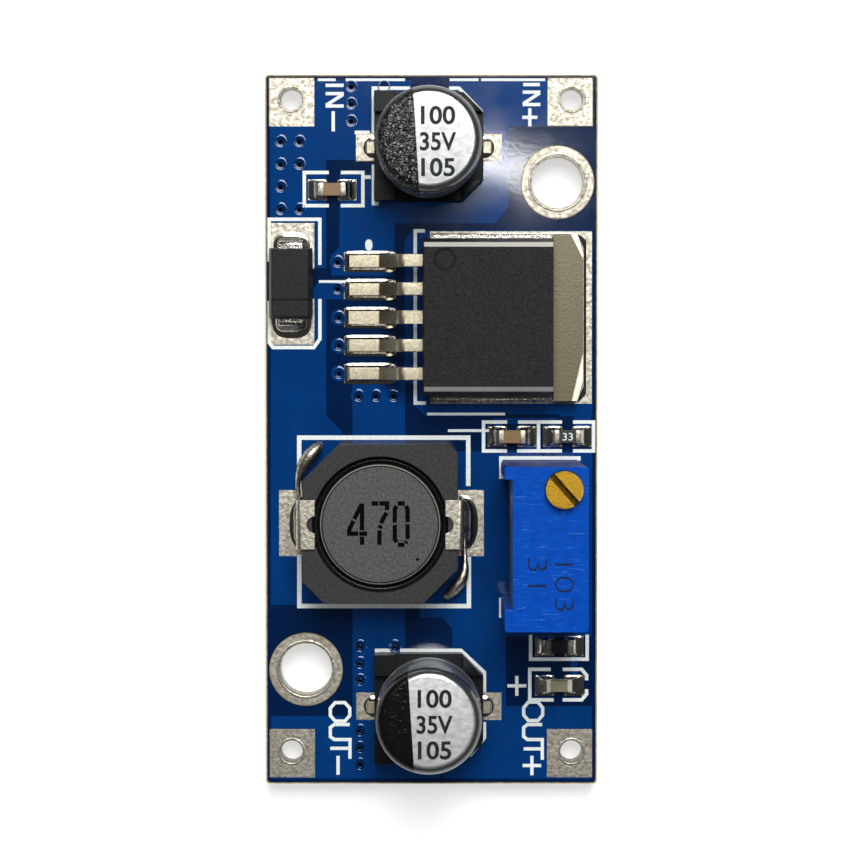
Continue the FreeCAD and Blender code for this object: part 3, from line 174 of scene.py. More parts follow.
world = bpy.data.worlds.new("studio")
world.use_nodes = True
bpy.context.scene.world = world
sky = world.node_tree
sky.nodes.clear()
direction = add(sky, "TexCoord").outputs["Generated"]
parts_of_direction = add(sky, "SeparateXYZ", {"Vector": direction}).outputs
mirrored = add(sky, "MapRange", {"Value": parts_of_direction["Z"],
                                 "From Min": horizon_height, "From Max": ceiling_height,
                                 "To Min": horizon_glow, "To Max": ceiling_glow},
               interpolation_type="SMOOTHSTEP")
ray = add(sky, "LightPath").outputs
shown_in_mirror = add(sky, "Math", {0: ray["Is Glossy Ray"], 1: ray["Is Transmission Ray"]},
                      operation="MAXIMUM")
mirror_or_plain = add(sky, "MixRGB", {"Fac": shown_in_mirror.outputs[0],
                                      "Color1": (sky_light, sky_light, sky_light, 1),
                                      "Color2": mirrored.outputs[0]})
seen_or_not = add(sky, "MixRGB", {"Fac": ray["Is Camera Ray"],
                                  "Color1": mirror_or_plain.outputs[0],
                                  "Color2": (1, 1, 1, 1)})
background = add(sky, "Background", {"Color": seen_or_not.outputs[0], "Strength": 1.0})
add(sky, "OutputWorld", {"Surface": background.outputs[0]})
print("sky: mirrors see", horizon_glow, "at the horizon and", ceiling_glow, "overhead")

# %% [markdown]
# The floor is one matt white sheet. More light would turn it white, but it would wash out the
# parts as well. So it adds a little glow of its own, and only to what the camera and mirrors
# see: the table turns white, the shadow stays, and no extra light falls on the parts.

# %% Lay the floor
floor_level = cad_box[0][2] / mm - 0.02
floor_reach = 3.0
floor_glow = 0.52

floor_mesh = bpy.data.meshes.new("floor")
floor_corners = [(x * floor_reach, y * floor_reach, floor_level * mm) for x, y in
                 ((-1, -1), (1, -1), (1, 1), (-1, 1))]
floor_mesh.from_pydata(floor_corners, [], [(0, 1, 2, 3)])
floor = bpy.data.objects.new("floor", floor_mesh)
bpy.context.scene.collection.objects.link(floor)

floor_material = bpy.data.materials.new("white_table")
floor_material.use_nodes = True
tree = floor_material.node_tree
tree.nodes.clear()
ray = add(tree, "LightPath").outputs
seen = add(tree, "Math", {0: ray["Is Camera Ray"], 1: ray["Is Glossy Ray"]},
           operation="MAXIMUM")
glow = add(tree, "Math", {0: seen.outputs[0], 1: floor_glow}, operation="MULTIPLY")
table_top = add(tree, "BsdfPrincipled", {
    "Base Color": linear("#dcdcda"), "Roughness": 0.9, "Specular IOR Level": 0.1,
    "Emission Color": (1, 1, 1, 1), "Emission Strength": glow.outputs[0]})
add(tree, "OutputMaterial", {"Surface": table_top.outputs[0]})
floor_mesh.materials.append(floor_material)
print("floor at", round(floor_level, 3), "mm")

# %% [markdown]
# ## How a finish is started
# Every material reads the object's own coordinates, turned to millimetres, so a pattern's
# size is written as its real size. A picture could hold the pattern too, but each piece would
# have to be unwrapped for it. The start is the same for all: a soft-edged noise of a stated
# grain mixes two tones, and the same noise can lift the surface and vary its roughness.


# %% Start a material
def start_material(name, tone, second_tone, grain, stretch=(1, 1, 1), specular=0.5, **sockets):
    """A principled surface whose colour is tone, with second_tone mixed in by a noise whose
    spots are grain millimetres wide. stretch divides the pattern along x, y and z."""
    material = bpy.data.materials.new(name)
    material.use_nodes = True
    tree = material.node_tree
    tree.nodes.clear()
    place = add(tree, "TexCoord").outputs["Object"]
    scaled = add(tree, "Mapping", {"Vector": place, "Scale": (1 / mm, 1 / mm, 1 / mm)})
    drawn_out = add(tree, "Mapping", {"Vector": scaled.outputs[0],
                                      "Scale": tuple(1 / value for value in stretch)})
    spots = add(tree, "TexNoise", {"Vector": drawn_out.outputs[0], "Scale": 1 / grain,
                                   "Detail": 4.0, "Roughness": 0.6})
    amount = add(tree, "MapRange", {"Value": spots.outputs[0], "From Min": 0.35,
                                    "From Max": 0.65})
    tones = add(tree, "MixRGB", {"Fac": amount.outputs[0], "Color1": linear(tone),
                                 "Color2": linear(second_tone)})
    shader = add(tree, "BsdfPrincipled", {"Base Color": tones.outputs[0],
                                          "Specular IOR Level": specular, **sockets})
    add(tree, "OutputMaterial", {"Surface": shader.outputs[0]})
    return {"material": material, "tree": tree, "place": scaled.outputs[0],
            "spots": spots.outputs[0], "colour": tones.outputs[0], "shader": shader}


finishes = {}
print("ready to start finishes")


# %% Relief, roughness and a second colour
def raise_surface(finish, height, depth):
    """Lifts the surface where height is high, by depth millimetres between 0 and 1."""
    before = finish["shader"].inputs["Normal"]
    inputs = {"Height": height, "Distance": depth * mm, "Strength": 1.0}
    if before.is_linked:
        inputs["Normal"] = before.links[0].from_socket
    bump = add(finish["tree"], "Bump", inputs)
    finish["tree"].links.new(bump.outputs[0], before)


def vary_roughness(finish, smooth, rough):
    """Roughness runs from smooth to rough as the finish's noise runs from 0.3 to 0.7."""
    spread = add(finish["tree"], "MapRange", {"Value": finish["spots"], "From Min": 0.3,
                                              "From Max": 0.7, "To Min": smooth,
                                              "To Max": rough})
    finish["tree"].links.new(spread.outputs[0], finish["shader"].inputs["Roughness"])


def repaint(finish, mask, hex_colour):
    """Lays a second colour over the first one where mask is 1."""
    mixed = add(finish["tree"], "MixRGB", {"Fac": mask, "Color1": finish["colour"],
                                           "Color2": linear(hex_colour)})
    finish["colour"] = mixed.outputs[0]
    finish["tree"].links.new(finish["colour"], finish["shader"].inputs["Base Color"])


print("relief, roughness and colour can be changed")

# %% [markdown]
# ## Marks by their place
# A bevel painted pale as a highlight, or a groove painted dark as shade, could have faces and a
# material of its own. The imported bodies are left as they are, so a mask finds the mark by the
# object's coordinates instead: it is 1 on the mark and 0 elsewhere, with an edge as soft as a
# few hundredths of a millimetre.


# %% Masks
def along(finish, direction):
    """How far a point lies along a direction, in millimetres: the dot product of the two."""
    dot = add(finish["tree"], "VectorMath", {0: finish["place"], 1: direction},
              operation="DOT_PRODUCT")
    return dot.outputs["Value"]


def step_at(finish, value, edge, soft):
    """0 while value is under edge, 1 beyond it, with a soft change; a negative soft turns the
    step round."""
    change = add(finish["tree"], "MapRange", {"Value": value, "From Min": edge - soft / 2,
                                              "From Max": edge + soft / 2})
    return change.outputs[0]


def from_axis(finish, x, y):
    """How far a point lies from the upright line through x, y: the vector's z is struck out,
    and what is left is measured to (x, y, 0)."""
    flat = add(finish["tree"], "VectorMath", {0: finish["place"], 1: (1, 1, 0)},
               operation="MULTIPLY")
    return add(finish["tree"], "VectorMath", {0: flat.outputs[0], 1: (x, y, 0)},
               operation="DISTANCE").outputs["Value"]


def from_plane(finish, direction, offset):
    """How far a point lies to either side of a plane: |its run along direction - offset|."""
    past = add(finish["tree"], "Math", {0: along(finish, direction), 1: offset},
               operation="SUBTRACT")
    return add(finish["tree"], "Math", {0: past.outputs[0]}, operation="ABSOLUTE").outputs[0]


def both(finish, first, second):
    """1 where both masks are 1: their product."""
    return add(finish["tree"], "Math", {0: first, 1: second}, operation="MULTIPLY").outputs[0]


to_right, to_top, upwards = (1, 0, 0), (0, 1, 0), (0, 0, 1)
print("masks run along", to_right, to_top, upwards)

# %% [markdown]
# ## Laminate and solder mask
# The laminate is woven glass in epoxy, and shows tan at its sawn edge. The solder mask is a
# glossy blue lacquer, 0.02 mm thick. It looks darker where no copper lies under it, because it
# is a little see-through. Real see-through lacquer would need many light paths to clear up, so
# its colour follows its height here: over copper it stands 0.016 mm higher.

# %% Laminate and solder mask
lacquer_on_laminate, lacquer_on_copper = 1.580, 1.596

# Sawn cloth is matt and shows its layers as fine level streaks.
glass_cloth = start_material("glass_epoxy_laminate", "#b9a878", "#8f8058", 0.35,
                             stretch=(1, 1, 0.25), Roughness=0.7)
raise_surface(glass_cloth, glass_cloth["spots"], 0.02)
finishes["laminate"] = glass_cloth

# Poured lacquer is almost a mirror, and its slight orange peel softens what it mirrors.
mask_lacquer = start_material("blue_solder_mask", "#003a7a", "#003470", 2.5)
level = along(mask_lacquer, upwards)
below = add(mask_lacquer["tree"], "MapRange", {
    "Value": level, "From Min": lacquer_on_laminate, "From Max": lacquer_on_copper,
    "To Min": 1.0, "To Max": 0.0})
repaint(mask_lacquer, below.outputs[0], "#001d45")
orange_peel = add(mask_lacquer["tree"], "TexNoise", {"Vector": mask_lacquer["place"],
                                                     "Scale": 1 / 0.25, "Detail": 2.0})
raise_surface(mask_lacquer, orange_peel.outputs[0], 0.0007)
vary_roughness(mask_lacquer, 0.05, 0.08)
finishes["solder_mask"] = mask_lacquer
print("lacquer turns dark below", lacquer_on_copper, "mm")

# %% [markdown]
# ## Copper, tin and solder
# Pads are copper levelled with hot tin: silvery, a little yellow, and dull in patches. Solder
# that has flowed is brighter. Both are one metal with a noise in its roughness, because the
# patches show in the gloss and hardly in the colour.

# %% Copper, tin and solder
# Rolled foil is even and satin.
rolled_foil = start_material("rolled_copper_foil", "#c8764e", "#a85f3c", 0.4, Metallic=1.0,
                             Roughness=0.35)
finishes["copper_foil"] = rolled_foil

# Tin blown level by hot air freezes in dull, slightly raised patches.
levelled_tin = start_material("hot_air_levelled_tin", "#c6c1b4", "#8f8878", 0.22,
                              Metallic=1.0)
raise_surface(levelled_tin, levelled_tin["spots"], 0.02)
vary_roughness(levelled_tin, 0.38, 0.52)
finishes["tinned_copper"] = levelled_tin

# Solder sets from the melt: its skin is bright, with the faint grain of its crystals.
joint_solder = start_material("reflowed_solder", "#d6d3cb", "#a29d92", 0.22, Metallic=1.0)
raise_surface(joint_solder, joint_solder["spots"], 0.010)
vary_roughness(joint_solder, 0.10, 0.24)
finishes["solder"] = joint_solder
print("metals of the board:", levelled_tin["material"].name, joint_solder["material"].name)

# %% [markdown]
# ## Moulded packages
# Power packages are moulded in black epoxy filled with silica: matt, with a very fine grain.
# The grain is about 0.03 mm on the real parts and is drawn at 0.11 mm, because a finer one
# would not show. The regulator's two long bevels are painted paler, as a painted highlight, and
# a black ring of painted shade lies round the sunk dimple that marks its first pin. The diode's
# fine groove round its cathode end is painted near black, as painted shade.

# %% The regulator's and the diode's moulding compound
package_grain, package_specular = 0.11, 0.14
regulator_middle_y, crown_half, shoulder_level = 6.62, 4.16, 5.70
pin_mark, mark_inner, mark_outer = (0.79, 10.04, 6.07), 0.53, 0.66
groove_start, groove_end = 7.62, 7.74

# Silica grain gives an even, dark, matt skin.
regulator_epoxy = start_material("moulded_regulator_epoxy", "#2a2a2a", "#131313", package_grain,
                                 specular=package_specular, Roughness=0.50)
raise_surface(regulator_epoxy, regulator_epoxy["spots"], 0.03)
from_middle = from_plane(regulator_epoxy, to_top, regulator_middle_y)
# The two long bevels are painted pale: a painted highlight.
bevel = both(regulator_epoxy,
             step_at(regulator_epoxy, along(regulator_epoxy, upwards), shoulder_level, 0.03),
             step_at(regulator_epoxy, from_middle, crown_half, 0.03))
repaint(regulator_epoxy, bevel, "#c9c6be")
# A black ring is painted round the pin-one dimple: painted shade along the dimple's edge.
from_mark = add(regulator_epoxy["tree"], "VectorMath",
                {0: regulator_epoxy["place"], 1: pin_mark}, operation="DISTANCE")
pin_mark_painted_shade = both(regulator_epoxy,
                step_at(regulator_epoxy, from_mark.outputs["Value"], mark_inner, 0.04),
                step_at(regulator_epoxy, from_mark.outputs["Value"], mark_outer, -0.04))
repaint(regulator_epoxy, pin_mark_painted_shade, "#070707")
finishes["moulding_compound"] = regulator_epoxy

# The diode's mould is blasted a little coarser, so it is greyer and still more matt.
diode_epoxy = start_material("moulded_diode_epoxy", "#303131", "#1b1b1b", package_grain,
                             specular=package_specular, Roughness=0.55)
raise_surface(diode_epoxy, diode_epoxy["spots"], 0.03)
# A near-black band is painted where the fine groove runs round the cathode end: painted shade in
# the groove.
along_diode = along(diode_epoxy, to_top)
groove_painted_shade = both(diode_epoxy, step_at(diode_epoxy, along_diode, groove_start, 0.03),
                   step_at(diode_epoxy, along_diode, groove_end, -0.03))
repaint(diode_epoxy, groove_painted_shade, "#0e0e0e")
print("package grain:", package_grain, "mm")

# %% [markdown]
# ## Stamped leads and the tab
# Leads are stamped from copper strip and plated with dull tin, which mirrors the lamp and the
# ceiling only as a broad shade. The tab's free part lies beside the tall black body and is
# painted darker, as painted shade. Its two corners are sheared off, and their facets are painted
# bright, as a painted highlight.

# %% Leads, tab and base plastic
tab_shade_x = 6.0
upper_shear, upper_shear_at = (0.897, 0.443, 0), 12.72
lower_shear, lower_shear_at, lower_shear_y = (0.973, -0.229, 0), 7.90, 4.4

# Plated strip is grey and silky.
dull_tin = start_material("dull_tinned_lead", "#b7af9a", "#98907b", 0.16, Metallic=1.0)
raise_surface(dull_tin, dull_tin["spots"], 0.008)
vary_roughness(dull_tin, 0.36, 0.48)
finishes["tinned_lead"] = dull_tin

# The tab is the same strip, brushed a little smoother.
tab_tin = start_material("brushed_tab_tin", "#b7af9a", "#98907b", 0.16, Metallic=1.0)
raise_surface(tab_tin, tab_tin["spots"], 0.008)
vary_roughness(tab_tin, 0.34, 0.46)
# The tab's free part beside the tall black body is painted darker: painted shade.
repaint(tab_tin, step_at(tab_tin, along(tab_tin, to_right), tab_shade_x, 0.5), "#615c4c")
# Both sheared corners are painted bright: a painted highlight on their facets.
repaint(tab_tin, step_at(tab_tin, along(tab_tin, upper_shear), upper_shear_at, 0.08), "#d8d2c0")
sheared_corner_highlight = both(tab_tin,
                      step_at(tab_tin, along(tab_tin, to_top), lower_shear_y, -0.3),
                      step_at(tab_tin, along(tab_tin, lower_shear), lower_shear_at, 0.06))
repaint(tab_tin, sheared_corner_highlight, "#d8d2c0")

# Moulded nylon is black with a faint gloss on its edges.
base_resin = start_material("moulded_black_nylon", "#191b1d", "#111213", 0.20, specular=0.12,
                            Roughness=0.35)
raise_surface(base_resin, base_resin["spots"], 0.006)
finishes["base_plastic"] = base_resin
print("the tab turns darker at x =", tab_shade_x, "mm")

# %% [markdown]
# ## Ferrite and wire
# Ferrite is pressed powder, fired like a ceramic: dark grey and matt. The drum's face is ground
# flat, so it is paler, and its rounded edge is painted with three thin rings, dark, bright and
# dark: painted shade and a painted highlight. The wire under it is copper with a clear brown
# enamel.

# %% Ferrite and wire
drum_axis = (-3.05, -5.72)
painted_drum_edge_rings = ((3.42, "#121212"), (3.50, "#8e8e8b"), (3.57, "#161616"))

# Fired ferrite scatters light evenly.
ferrite_grey = start_material("sintered_ferrite", "#3a3b3a", "#2a2a2a", 0.16, specular=0.20,
                              Roughness=0.55)
raise_surface(ferrite_grey, ferrite_grey["spots"], 0.014)
finishes["ferrite"] = ferrite_grey

# Grinding opens the pores, which show as fine pale and dark grain.
ground_ferrite = start_material("ground_ferrite", "#5e5e5b", "#434342", 0.14, specular=0.2,
                                Roughness=0.6)
raise_surface(ground_ferrite, ground_ferrite["spots"], 0.014)
drum_radius = from_axis(ground_ferrite, *drum_axis)
# The rings are painted on the drum's rounded edge: painted shade, a bright painted highlight, and
# painted shade again.
for radius, colour in painted_drum_edge_rings:
    repaint(ground_ferrite, step_at(ground_ferrite, drum_radius, radius, 0.03), colour)

# Enamel over drawn copper is brown and glossy.
magnet_wire = start_material("enamelled_copper_wire", "#9a4f22", "#7c3c16", 0.30,
                             Metallic=0.8, Roughness=0.30)
finishes["enamelled_wire"] = magnet_wire
print("rings on the drum:", len(painted_drum_edge_rings))

# %% [markdown]
# ## Printed cans
# The cans are drawn aluminium. Their tops are matt from the press, the shoulders and walls are
# smoother and mirror the dark ceiling, and the shoulders are painted darker too, as painted
# shade. Half of each top has black print on the side of the negative lead. The print could be a
# thin piece of its own. A mask is simpler and follows the round shoulder, and it can switch the
# metal's gloss off where the ink lies.

# %% Printed aluminium
can_print_level, can_axis_x, print_lean = 8.8, -0.16, 3.6
shoulder_shade_radius, shoulder_shade_level = 2.72, 8.50
matt_radius, smooth_radius = 2.50, 2.80
crease_size = 0.40


def printed_can(name, tones, axis_y, print_edge, wrinkle):
    """Aluminium with black print where x cos(print_lean) + y sin(print_lean) is under
    print_edge, wrinkled by this many millimetres."""
    finish = start_material(name, *tones, 0.30, stretch=(1.5, 1, 1))
    radius = from_axis(finish, can_axis_x, axis_y)
    height = along(finish, upwards)
    # The shoulder is painted darker grey: painted shade where the round metal mirrors the dark
    # ceiling.
    shoulder = both(finish, step_at(finish, radius, shoulder_shade_radius, 0.16),
                    step_at(finish, height, shoulder_shade_level, 0.4))
    repaint(finish, shoulder, "#6c6e6f")
    heading = (math.cos(math.radians(print_lean)), math.sin(math.radians(print_lean)), 0)
    printed = both(finish, step_at(finish, along(finish, heading), print_edge, -0.03),
                   step_at(finish, height, can_print_level, 0.05))
    repaint(finish, printed, "#0c0c0d")
    tree = finish["tree"]
    metal = add(tree, "MapRange", {"Value": printed, "To Min": 0.8, "To Max": 0.0})
    bare = add(tree, "MapRange", {"Value": radius, "From Min": matt_radius,
                                  "From Max": smooth_radius, "To Min": 0.46, "To Max": 0.20})
    roughness = add(tree, "MapRange", {"Value": printed, "To Min": bare.outputs[0],
                                       "To Max": 0.17})
    tree.links.new(metal.outputs[0], finish["shader"].inputs["Metallic"])
    tree.links.new(roughness.outputs[0], finish["shader"].inputs["Roughness"])
    creases = add(tree, "TexNoise", {"Vector": finish["place"], "Scale": 1 / crease_size,
                                     "Detail": 2.0, "Distortion": 2.2})
    raise_surface(finish, both(finish, creases.outputs[0], printed), wrinkle)
    raise_surface(finish, finish["spots"], 0.01)
    return finish


# Pressed aluminium is pale and matt; wet ink wrinkled on the input can and lay flat on the other.
# The input can's tones are darker than the output can's: painted shade on the same metal.
printed_cans = {
    "input": printed_can("printed_aluminium_input", ("#bcbdbc", "#9fa1a0"), 16.94, 0.16, 0.10),
    "output": printed_can("printed_aluminium_output", ("#dfe0df", "#bfc1c1"), -17.10, -2.27,
                          0.02),
}
finishes["can_aluminium"] = printed_cans["input"]
print("printed cans:", len(printed_cans))

# %% [markdown]
# ## The trimmer's finishes
# The housing is a hard blue thermoset with fine pale scratches on its top, and its upper wall
# is painted darker, as painted shade. The screw is turned brass. Its slot is cut in the solid,
# but this high soft light reaches right into it, so its floor is painted darker: painted shade.

# %% Blue thermoset
top_level, wall_y, wall_level = 11.55, -2.16, 11.50

# Moulded polyester is even, strongly coloured and has a soft gloss.
blue_thermoset = start_material("moulded_blue_polyester", "#004bb6", "#0044a6", 0.5,
                                specular=0.05, Roughness=0.40)
raise_surface(blue_thermoset, blue_thermoset["spots"], 0.006)
blue_height = along(blue_thermoset, upwards)
drawn_out = add(blue_thermoset["tree"], "Mapping", {"Vector": blue_thermoset["place"],
                                                    "Scale": (0.9, 13.0, 1.0)})
strokes = add(blue_thermoset["tree"], "TexNoise", {"Vector": drawn_out.outputs[0],
                                                   "Scale": 1.0, "Detail": 3.0,
                                                   "Roughness": 0.7})
scratched = both(blue_thermoset, step_at(blue_thermoset, strokes.outputs[0], 0.66, 0.10),
                 step_at(blue_thermoset, blue_height, top_level, 0.04))
repaint(blue_thermoset, scratched, "#3f7ad0")
# The wall that faces the input end is painted darker: painted shade.
upper_wall_painted_shade = both(blue_thermoset,
                  step_at(blue_thermoset, along(blue_thermoset, to_top), wall_y, 0.03),
                  step_at(blue_thermoset, blue_height, wall_level, -0.04))
repaint(blue_thermoset, upper_wall_painted_shade, "#002a78")
finishes["trimmer_blue"] = blue_thermoset
print("scratches lie above", top_level, "mm")

# %% Turned brass
screw_middle = np.array([7.635, -3.380, 0.0])
across_slot = np.array([0.749, 0.663, 0.0])
slot_half, slot_floor = 0.185, 12.34

# Turned brass is yellow and glossy, with tool marks drawn out along x.
turned_brass = start_material("turned_brass", "#e6b640", "#b98a2a", 0.12,
                              stretch=(4, 1, 1), Metallic=1.0)
vary_roughness(turned_brass, 0.22, 0.38)
from_slot = from_plane(turned_brass, across_slot, float(across_slot @ screw_middle))
# Below its rim the slot is painted dark brown: painted shade.
slot_painted_shade = both(turned_brass, step_at(turned_brass, from_slot, slot_half, -0.02),
               step_at(turned_brass, along(turned_brass, upwards), slot_floor, -0.10))
repaint(turned_brass, slot_painted_shade, "#5a4212")
finishes["screw_brass"] = turned_brass
print("the slot is", 2 * slot_half, "mm wide")

# %% [markdown]
# ## Chips and inner pieces
# Chips are fired ceramic with a glaze or a bare tan body. The inner pieces, such as the seal,
# the cast resin and the ceramic plate, show only when the model is opened up, and each gets
# the plain finish of its material: one noise of two near tones is enough for them.

# %% Plain finishes
plain_finishes = {
    "capacitor_ceramic": ("barium_titanate_chip", "#8c6a3a", "#76582e", 0.10, 0.45),
    "resistor_ceramic": ("glazed_resistor_chip", "#1c1d20", "#131416", 0.10, 0.35),
    "lamp_base": ("white_lamp_laminate", "#d9d6c8", "#c7c3b2", 0.15, 0.5),
    "seal_rubber": ("butyl_rubber", "#1d1c1b", "#151413", 0.3, 0.7),
    "casting_resin": ("potting_epoxy", "#3a4a5e", "#334154", 0.4, 0.4),
    "alumina": ("fired_alumina", "#e9e7e0", "#dcd9cf", 0.2, 0.6),
    "track_film": ("cermet_track", "#2a2826", "#1f1d1b", 0.15, 0.5),
    "wheel_nylon": ("moulded_nylon", "#d8d3c4", "#c9c3b2", 0.4, 0.45),
}
for slot, (name, tone, second_tone, grain, roughness) in plain_finishes.items():
    finishes[slot] = start_material(name, tone, second_tone, grain, Roughness=roughness)

# Clear epoxy over the lamp lets light in; wound foil has fine rings; spring strip is satin.
finishes["lamp_lens"] = start_material("clear_lamp_epoxy", "#cfcaa8", "#b8b48c", 0.2,
                                       Roughness=0.12, **{"Transmission Weight": 0.5})
finishes["foil_roll"] = start_material("wound_foil_and_paper", "#b7b4ab", "#8f8a7c", 0.1,
                                       stretch=(1, 1, 8), Metallic=0.5, Roughness=0.5)
finishes["wiper_spring"] = start_material("phosphor_bronze_strip", "#c08a52", "#a5723e", 0.2,
                                          Metallic=1.0, Roughness=0.3)
print("finishes:", len(finishes))

# %% [markdown]
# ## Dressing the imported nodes
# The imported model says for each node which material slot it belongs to, so a loop can dress
# them all. Only the copper on the top gets another finish than its slot's: its bare fields
# are levelled with tin.

# %% Dress every carried-over node in its slot's finish
for name, node in nodes.items():
    finish = levelled_tin if name == "copper_top" else finishes[slot_of[name]]
    node.data.materials.clear()
    node.data.materials.append(finish["material"])
print("dressed", len(nodes), "nodes")


# %% [markdown]
# ## The printed legend
# The legend is white epoxy ink, screened on in lines 0.16 to 0.27 mm wide and standing about
# 0.014 mm proud. It could be painted on the lacquer by a mask, but there are too many lines for
# that, and real ink has an edge that catches the light. A rectangle carried along a path gives
# such a line, with its corners mitred like a picture frame's.

# %% A profile carried along a path
def grid_faces(rows, columns, wrap_rows, wrap_columns):
    """Quads of a grid of rows x columns points, joined round where wrap says so."""
    r = np.arange(rows if wrap_rows else rows - 1)[:, None]
    c = np.arange(columns if wrap_columns else columns - 1)[None, :]
    below, right = (r + 1) % rows, (c + 1) % columns
    quads = np.stack([r * columns + c, r * columns + right,
                      below * columns + right, below * columns + c], axis=-1)
    return quads.reshape(-1, 4)


def carried(path, profile, closed=False):
    """Each profile point (across, up) is set off from each path point: across / cos(half
    the turn) along the corner's bisector, and up along z. Ends are closed with caps."""
    path = np.asarray(path, float)
    steps = (np.roll(path, -1, axis=0) - path)[:None if closed else -1]
    steps /= np.linalg.norm(steps, axis=1, keepdims=True)
    left = np.column_stack([-steps[:, 1], steps[:, 0]])
    if closed:
        before, after = np.roll(left, 1, axis=0), left
    else:
        before, after = np.vstack([left[:1], left]), np.vstack([left, left[-1:]])
    bisector = (before + after) / (1 + np.sum(before * after, axis=1, keepdims=True))
    profile = np.asarray(profile, float)
    flat = path[:, None, :] + bisector[:, None, :] * profile[None, :, :1]
    rise = np.broadcast_to(profile[None, :, 1:], (*flat.shape[:2], 1))
    points = np.concatenate([flat, rise], axis=2).reshape(-1, 3)
    count = len(profile)
    faces = grid_faces(len(path), count, closed, True).tolist()
    if not closed:
        faces.append(list(range(count))[::-1])
        faces.append([len(points) - count + i for i in range(count)])
    return points, faces


points, faces = carried([(0, 0), (5, 0), (5, 5)], [(-1, 0), (1, 0), (1, 1), (-1, 1)])
print("a line with one corner has", len(points), "points and", len(faces), "faces")

# %% [markdown]
# ## Setting a piece down
# Every new piece is a mesh in the board's own frame and rides on the body that carries it.
# Small shapes of one kind are joined in one piece.
# Smooth shading hides the steps between faces, and a crease is kept where they meet sharply.

# %% Set a piece down
crease_angle = math.radians(40)


def piece(name, shapes, finish, body="board", smooth=False):
    """Makes one named piece of several (points, faces) shapes, in millimetres, and lets it
    ride on its body."""
    points, faces, count = [], [], 0
    for shape_points, shape_faces in shapes:
        points.append(np.asarray(shape_points, float))
        faces += [[count + index for index in face] for face in shape_faces]
        count += len(shape_points)
    mesh = bpy.data.meshes.new(name)
    mesh.from_pydata((np.vstack(points) * mm).tolist(), [], faces)
    mesh.update()
    return set_down(name, mesh, finish, body, smooth)


def set_down(name, mesh, finish, body="board", smooth=False):
    """Gives a mesh its finish, and makes it an object that rides on its body. A smooth one
    keeps a crease where two faces meet at more than crease_angle."""
    mesh.materials.clear()
    mesh.materials.append(finish["material"])
    if smooth:
        mesh.shade_smooth()
        mesh.set_sharp_from_angle(angle=crease_angle)
    made = bpy.data.objects.new(name, mesh)
    bpy.context.scene.collection.objects.link(made)
    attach(made, body)
    print(name, len(mesh.polygons), "faces")
    return made


print("creases from", round(math.degrees(crease_angle)), "degrees")


# %% Where the parts are
def extent(name):
    """A node's lowest and highest corner, in millimetres."""
    return [np.array(corner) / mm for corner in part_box(name)]


def middle_of(name):
    """The middle of a node's box and its top, in millimetres."""
    low, high = extent(name)
    return (low + high) / 2, high[2]


print("the trimmer's top is at", round(middle_of("trimmer_housing")[1], 2), "mm")

# %% [markdown]
# ## Turned forms
# Cans, rims and lips are round, so each is a closed profile taken round an upright line. Spin
# would do the same, but a grid worked out at once is faster and always faces outwards.

# %% Turn a profile
def revolved(profile, centre, steps=72):
    """Each profile point (radius, height) goes round the upright line through centre:
    x = centre x + radius cos a, and y = centre y + radius sin a."""
    angle = np.linspace(0, 2 * math.pi, steps, endpoint=False)
    profile = np.asarray(profile, float)
    round_it = np.column_stack([np.cos(angle), np.sin(angle)])
    flat = centre + round_it[:, None, :] * profile[None, :, :1]
    rise = np.broadcast_to(profile[None, :, 1:], (*flat.shape[:2], 1))
    points = np.concatenate([flat, rise], axis=2).reshape(-1, 3)
    faces = grid_faces(steps, len(profile), True, True)[:, ::-1]
    return points, faces.tolist()


points, faces = revolved([(1, 0), (2, 0), (2, 1)], np.zeros(2))
print("a triangle turned in 72 steps has", len(faces), "faces")

# %% [markdown]
# ## Rounded edges
# No moulded or pressed part has a sharp edge: a thin line of light runs along each one. The
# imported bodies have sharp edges, so a copy of each body that shows is merged from loose
# triangles into whole faces, and its outer edges are rounded by a few hundredths of a
# millimetre. A Bevel modifier would round inner corners as well, so only the outer edges are
# picked here. Normals weighted by the faces' areas keep the flat faces flat to the eye. The
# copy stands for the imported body, which keeps its own mesh.

# %% Round the edges of a copy
outer_edge_angle, flat_angle = math.radians(25), math.radians(1)
same_point = 0.0002


def rounded(node_name, width, finish):
    """A copy of a node with every outer edge sharper than outer_edge_angle rounded by width."""
    mesh = nodes[node_name].data.copy()
    mesh.name = "rounded_" + node_name
    solid = bmesh.new()
    solid.from_mesh(mesh)
    bmesh.ops.remove_doubles(solid, verts=solid.verts, dist=same_point * mm)
    bmesh.ops.dissolve_limit(solid, angle_limit=flat_angle, verts=solid.verts,
                             edges=solid.edges)
    outer = [edge for edge in solid.edges if len(edge.link_faces) == 2
             and edge.calc_face_angle_signed() > outer_edge_angle]
    bmesh.ops.bevel(solid, geom=outer, offset=width * mm, offset_type="OFFSET", segments=2,
                    profile=0.5, affect="EDGES", clamp_overlap=True)
    solid.to_mesh(mesh)
    solid.free()
    made = set_down(mesh.name, mesh, finish, smooth=True)
    even_shade = made.modifiers.new("flat_faces_stay_flat", "WEIGHTED_NORMAL")
    even_shade.weight = 100
    even_shade.keep_sharp = True
    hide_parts(node_name)


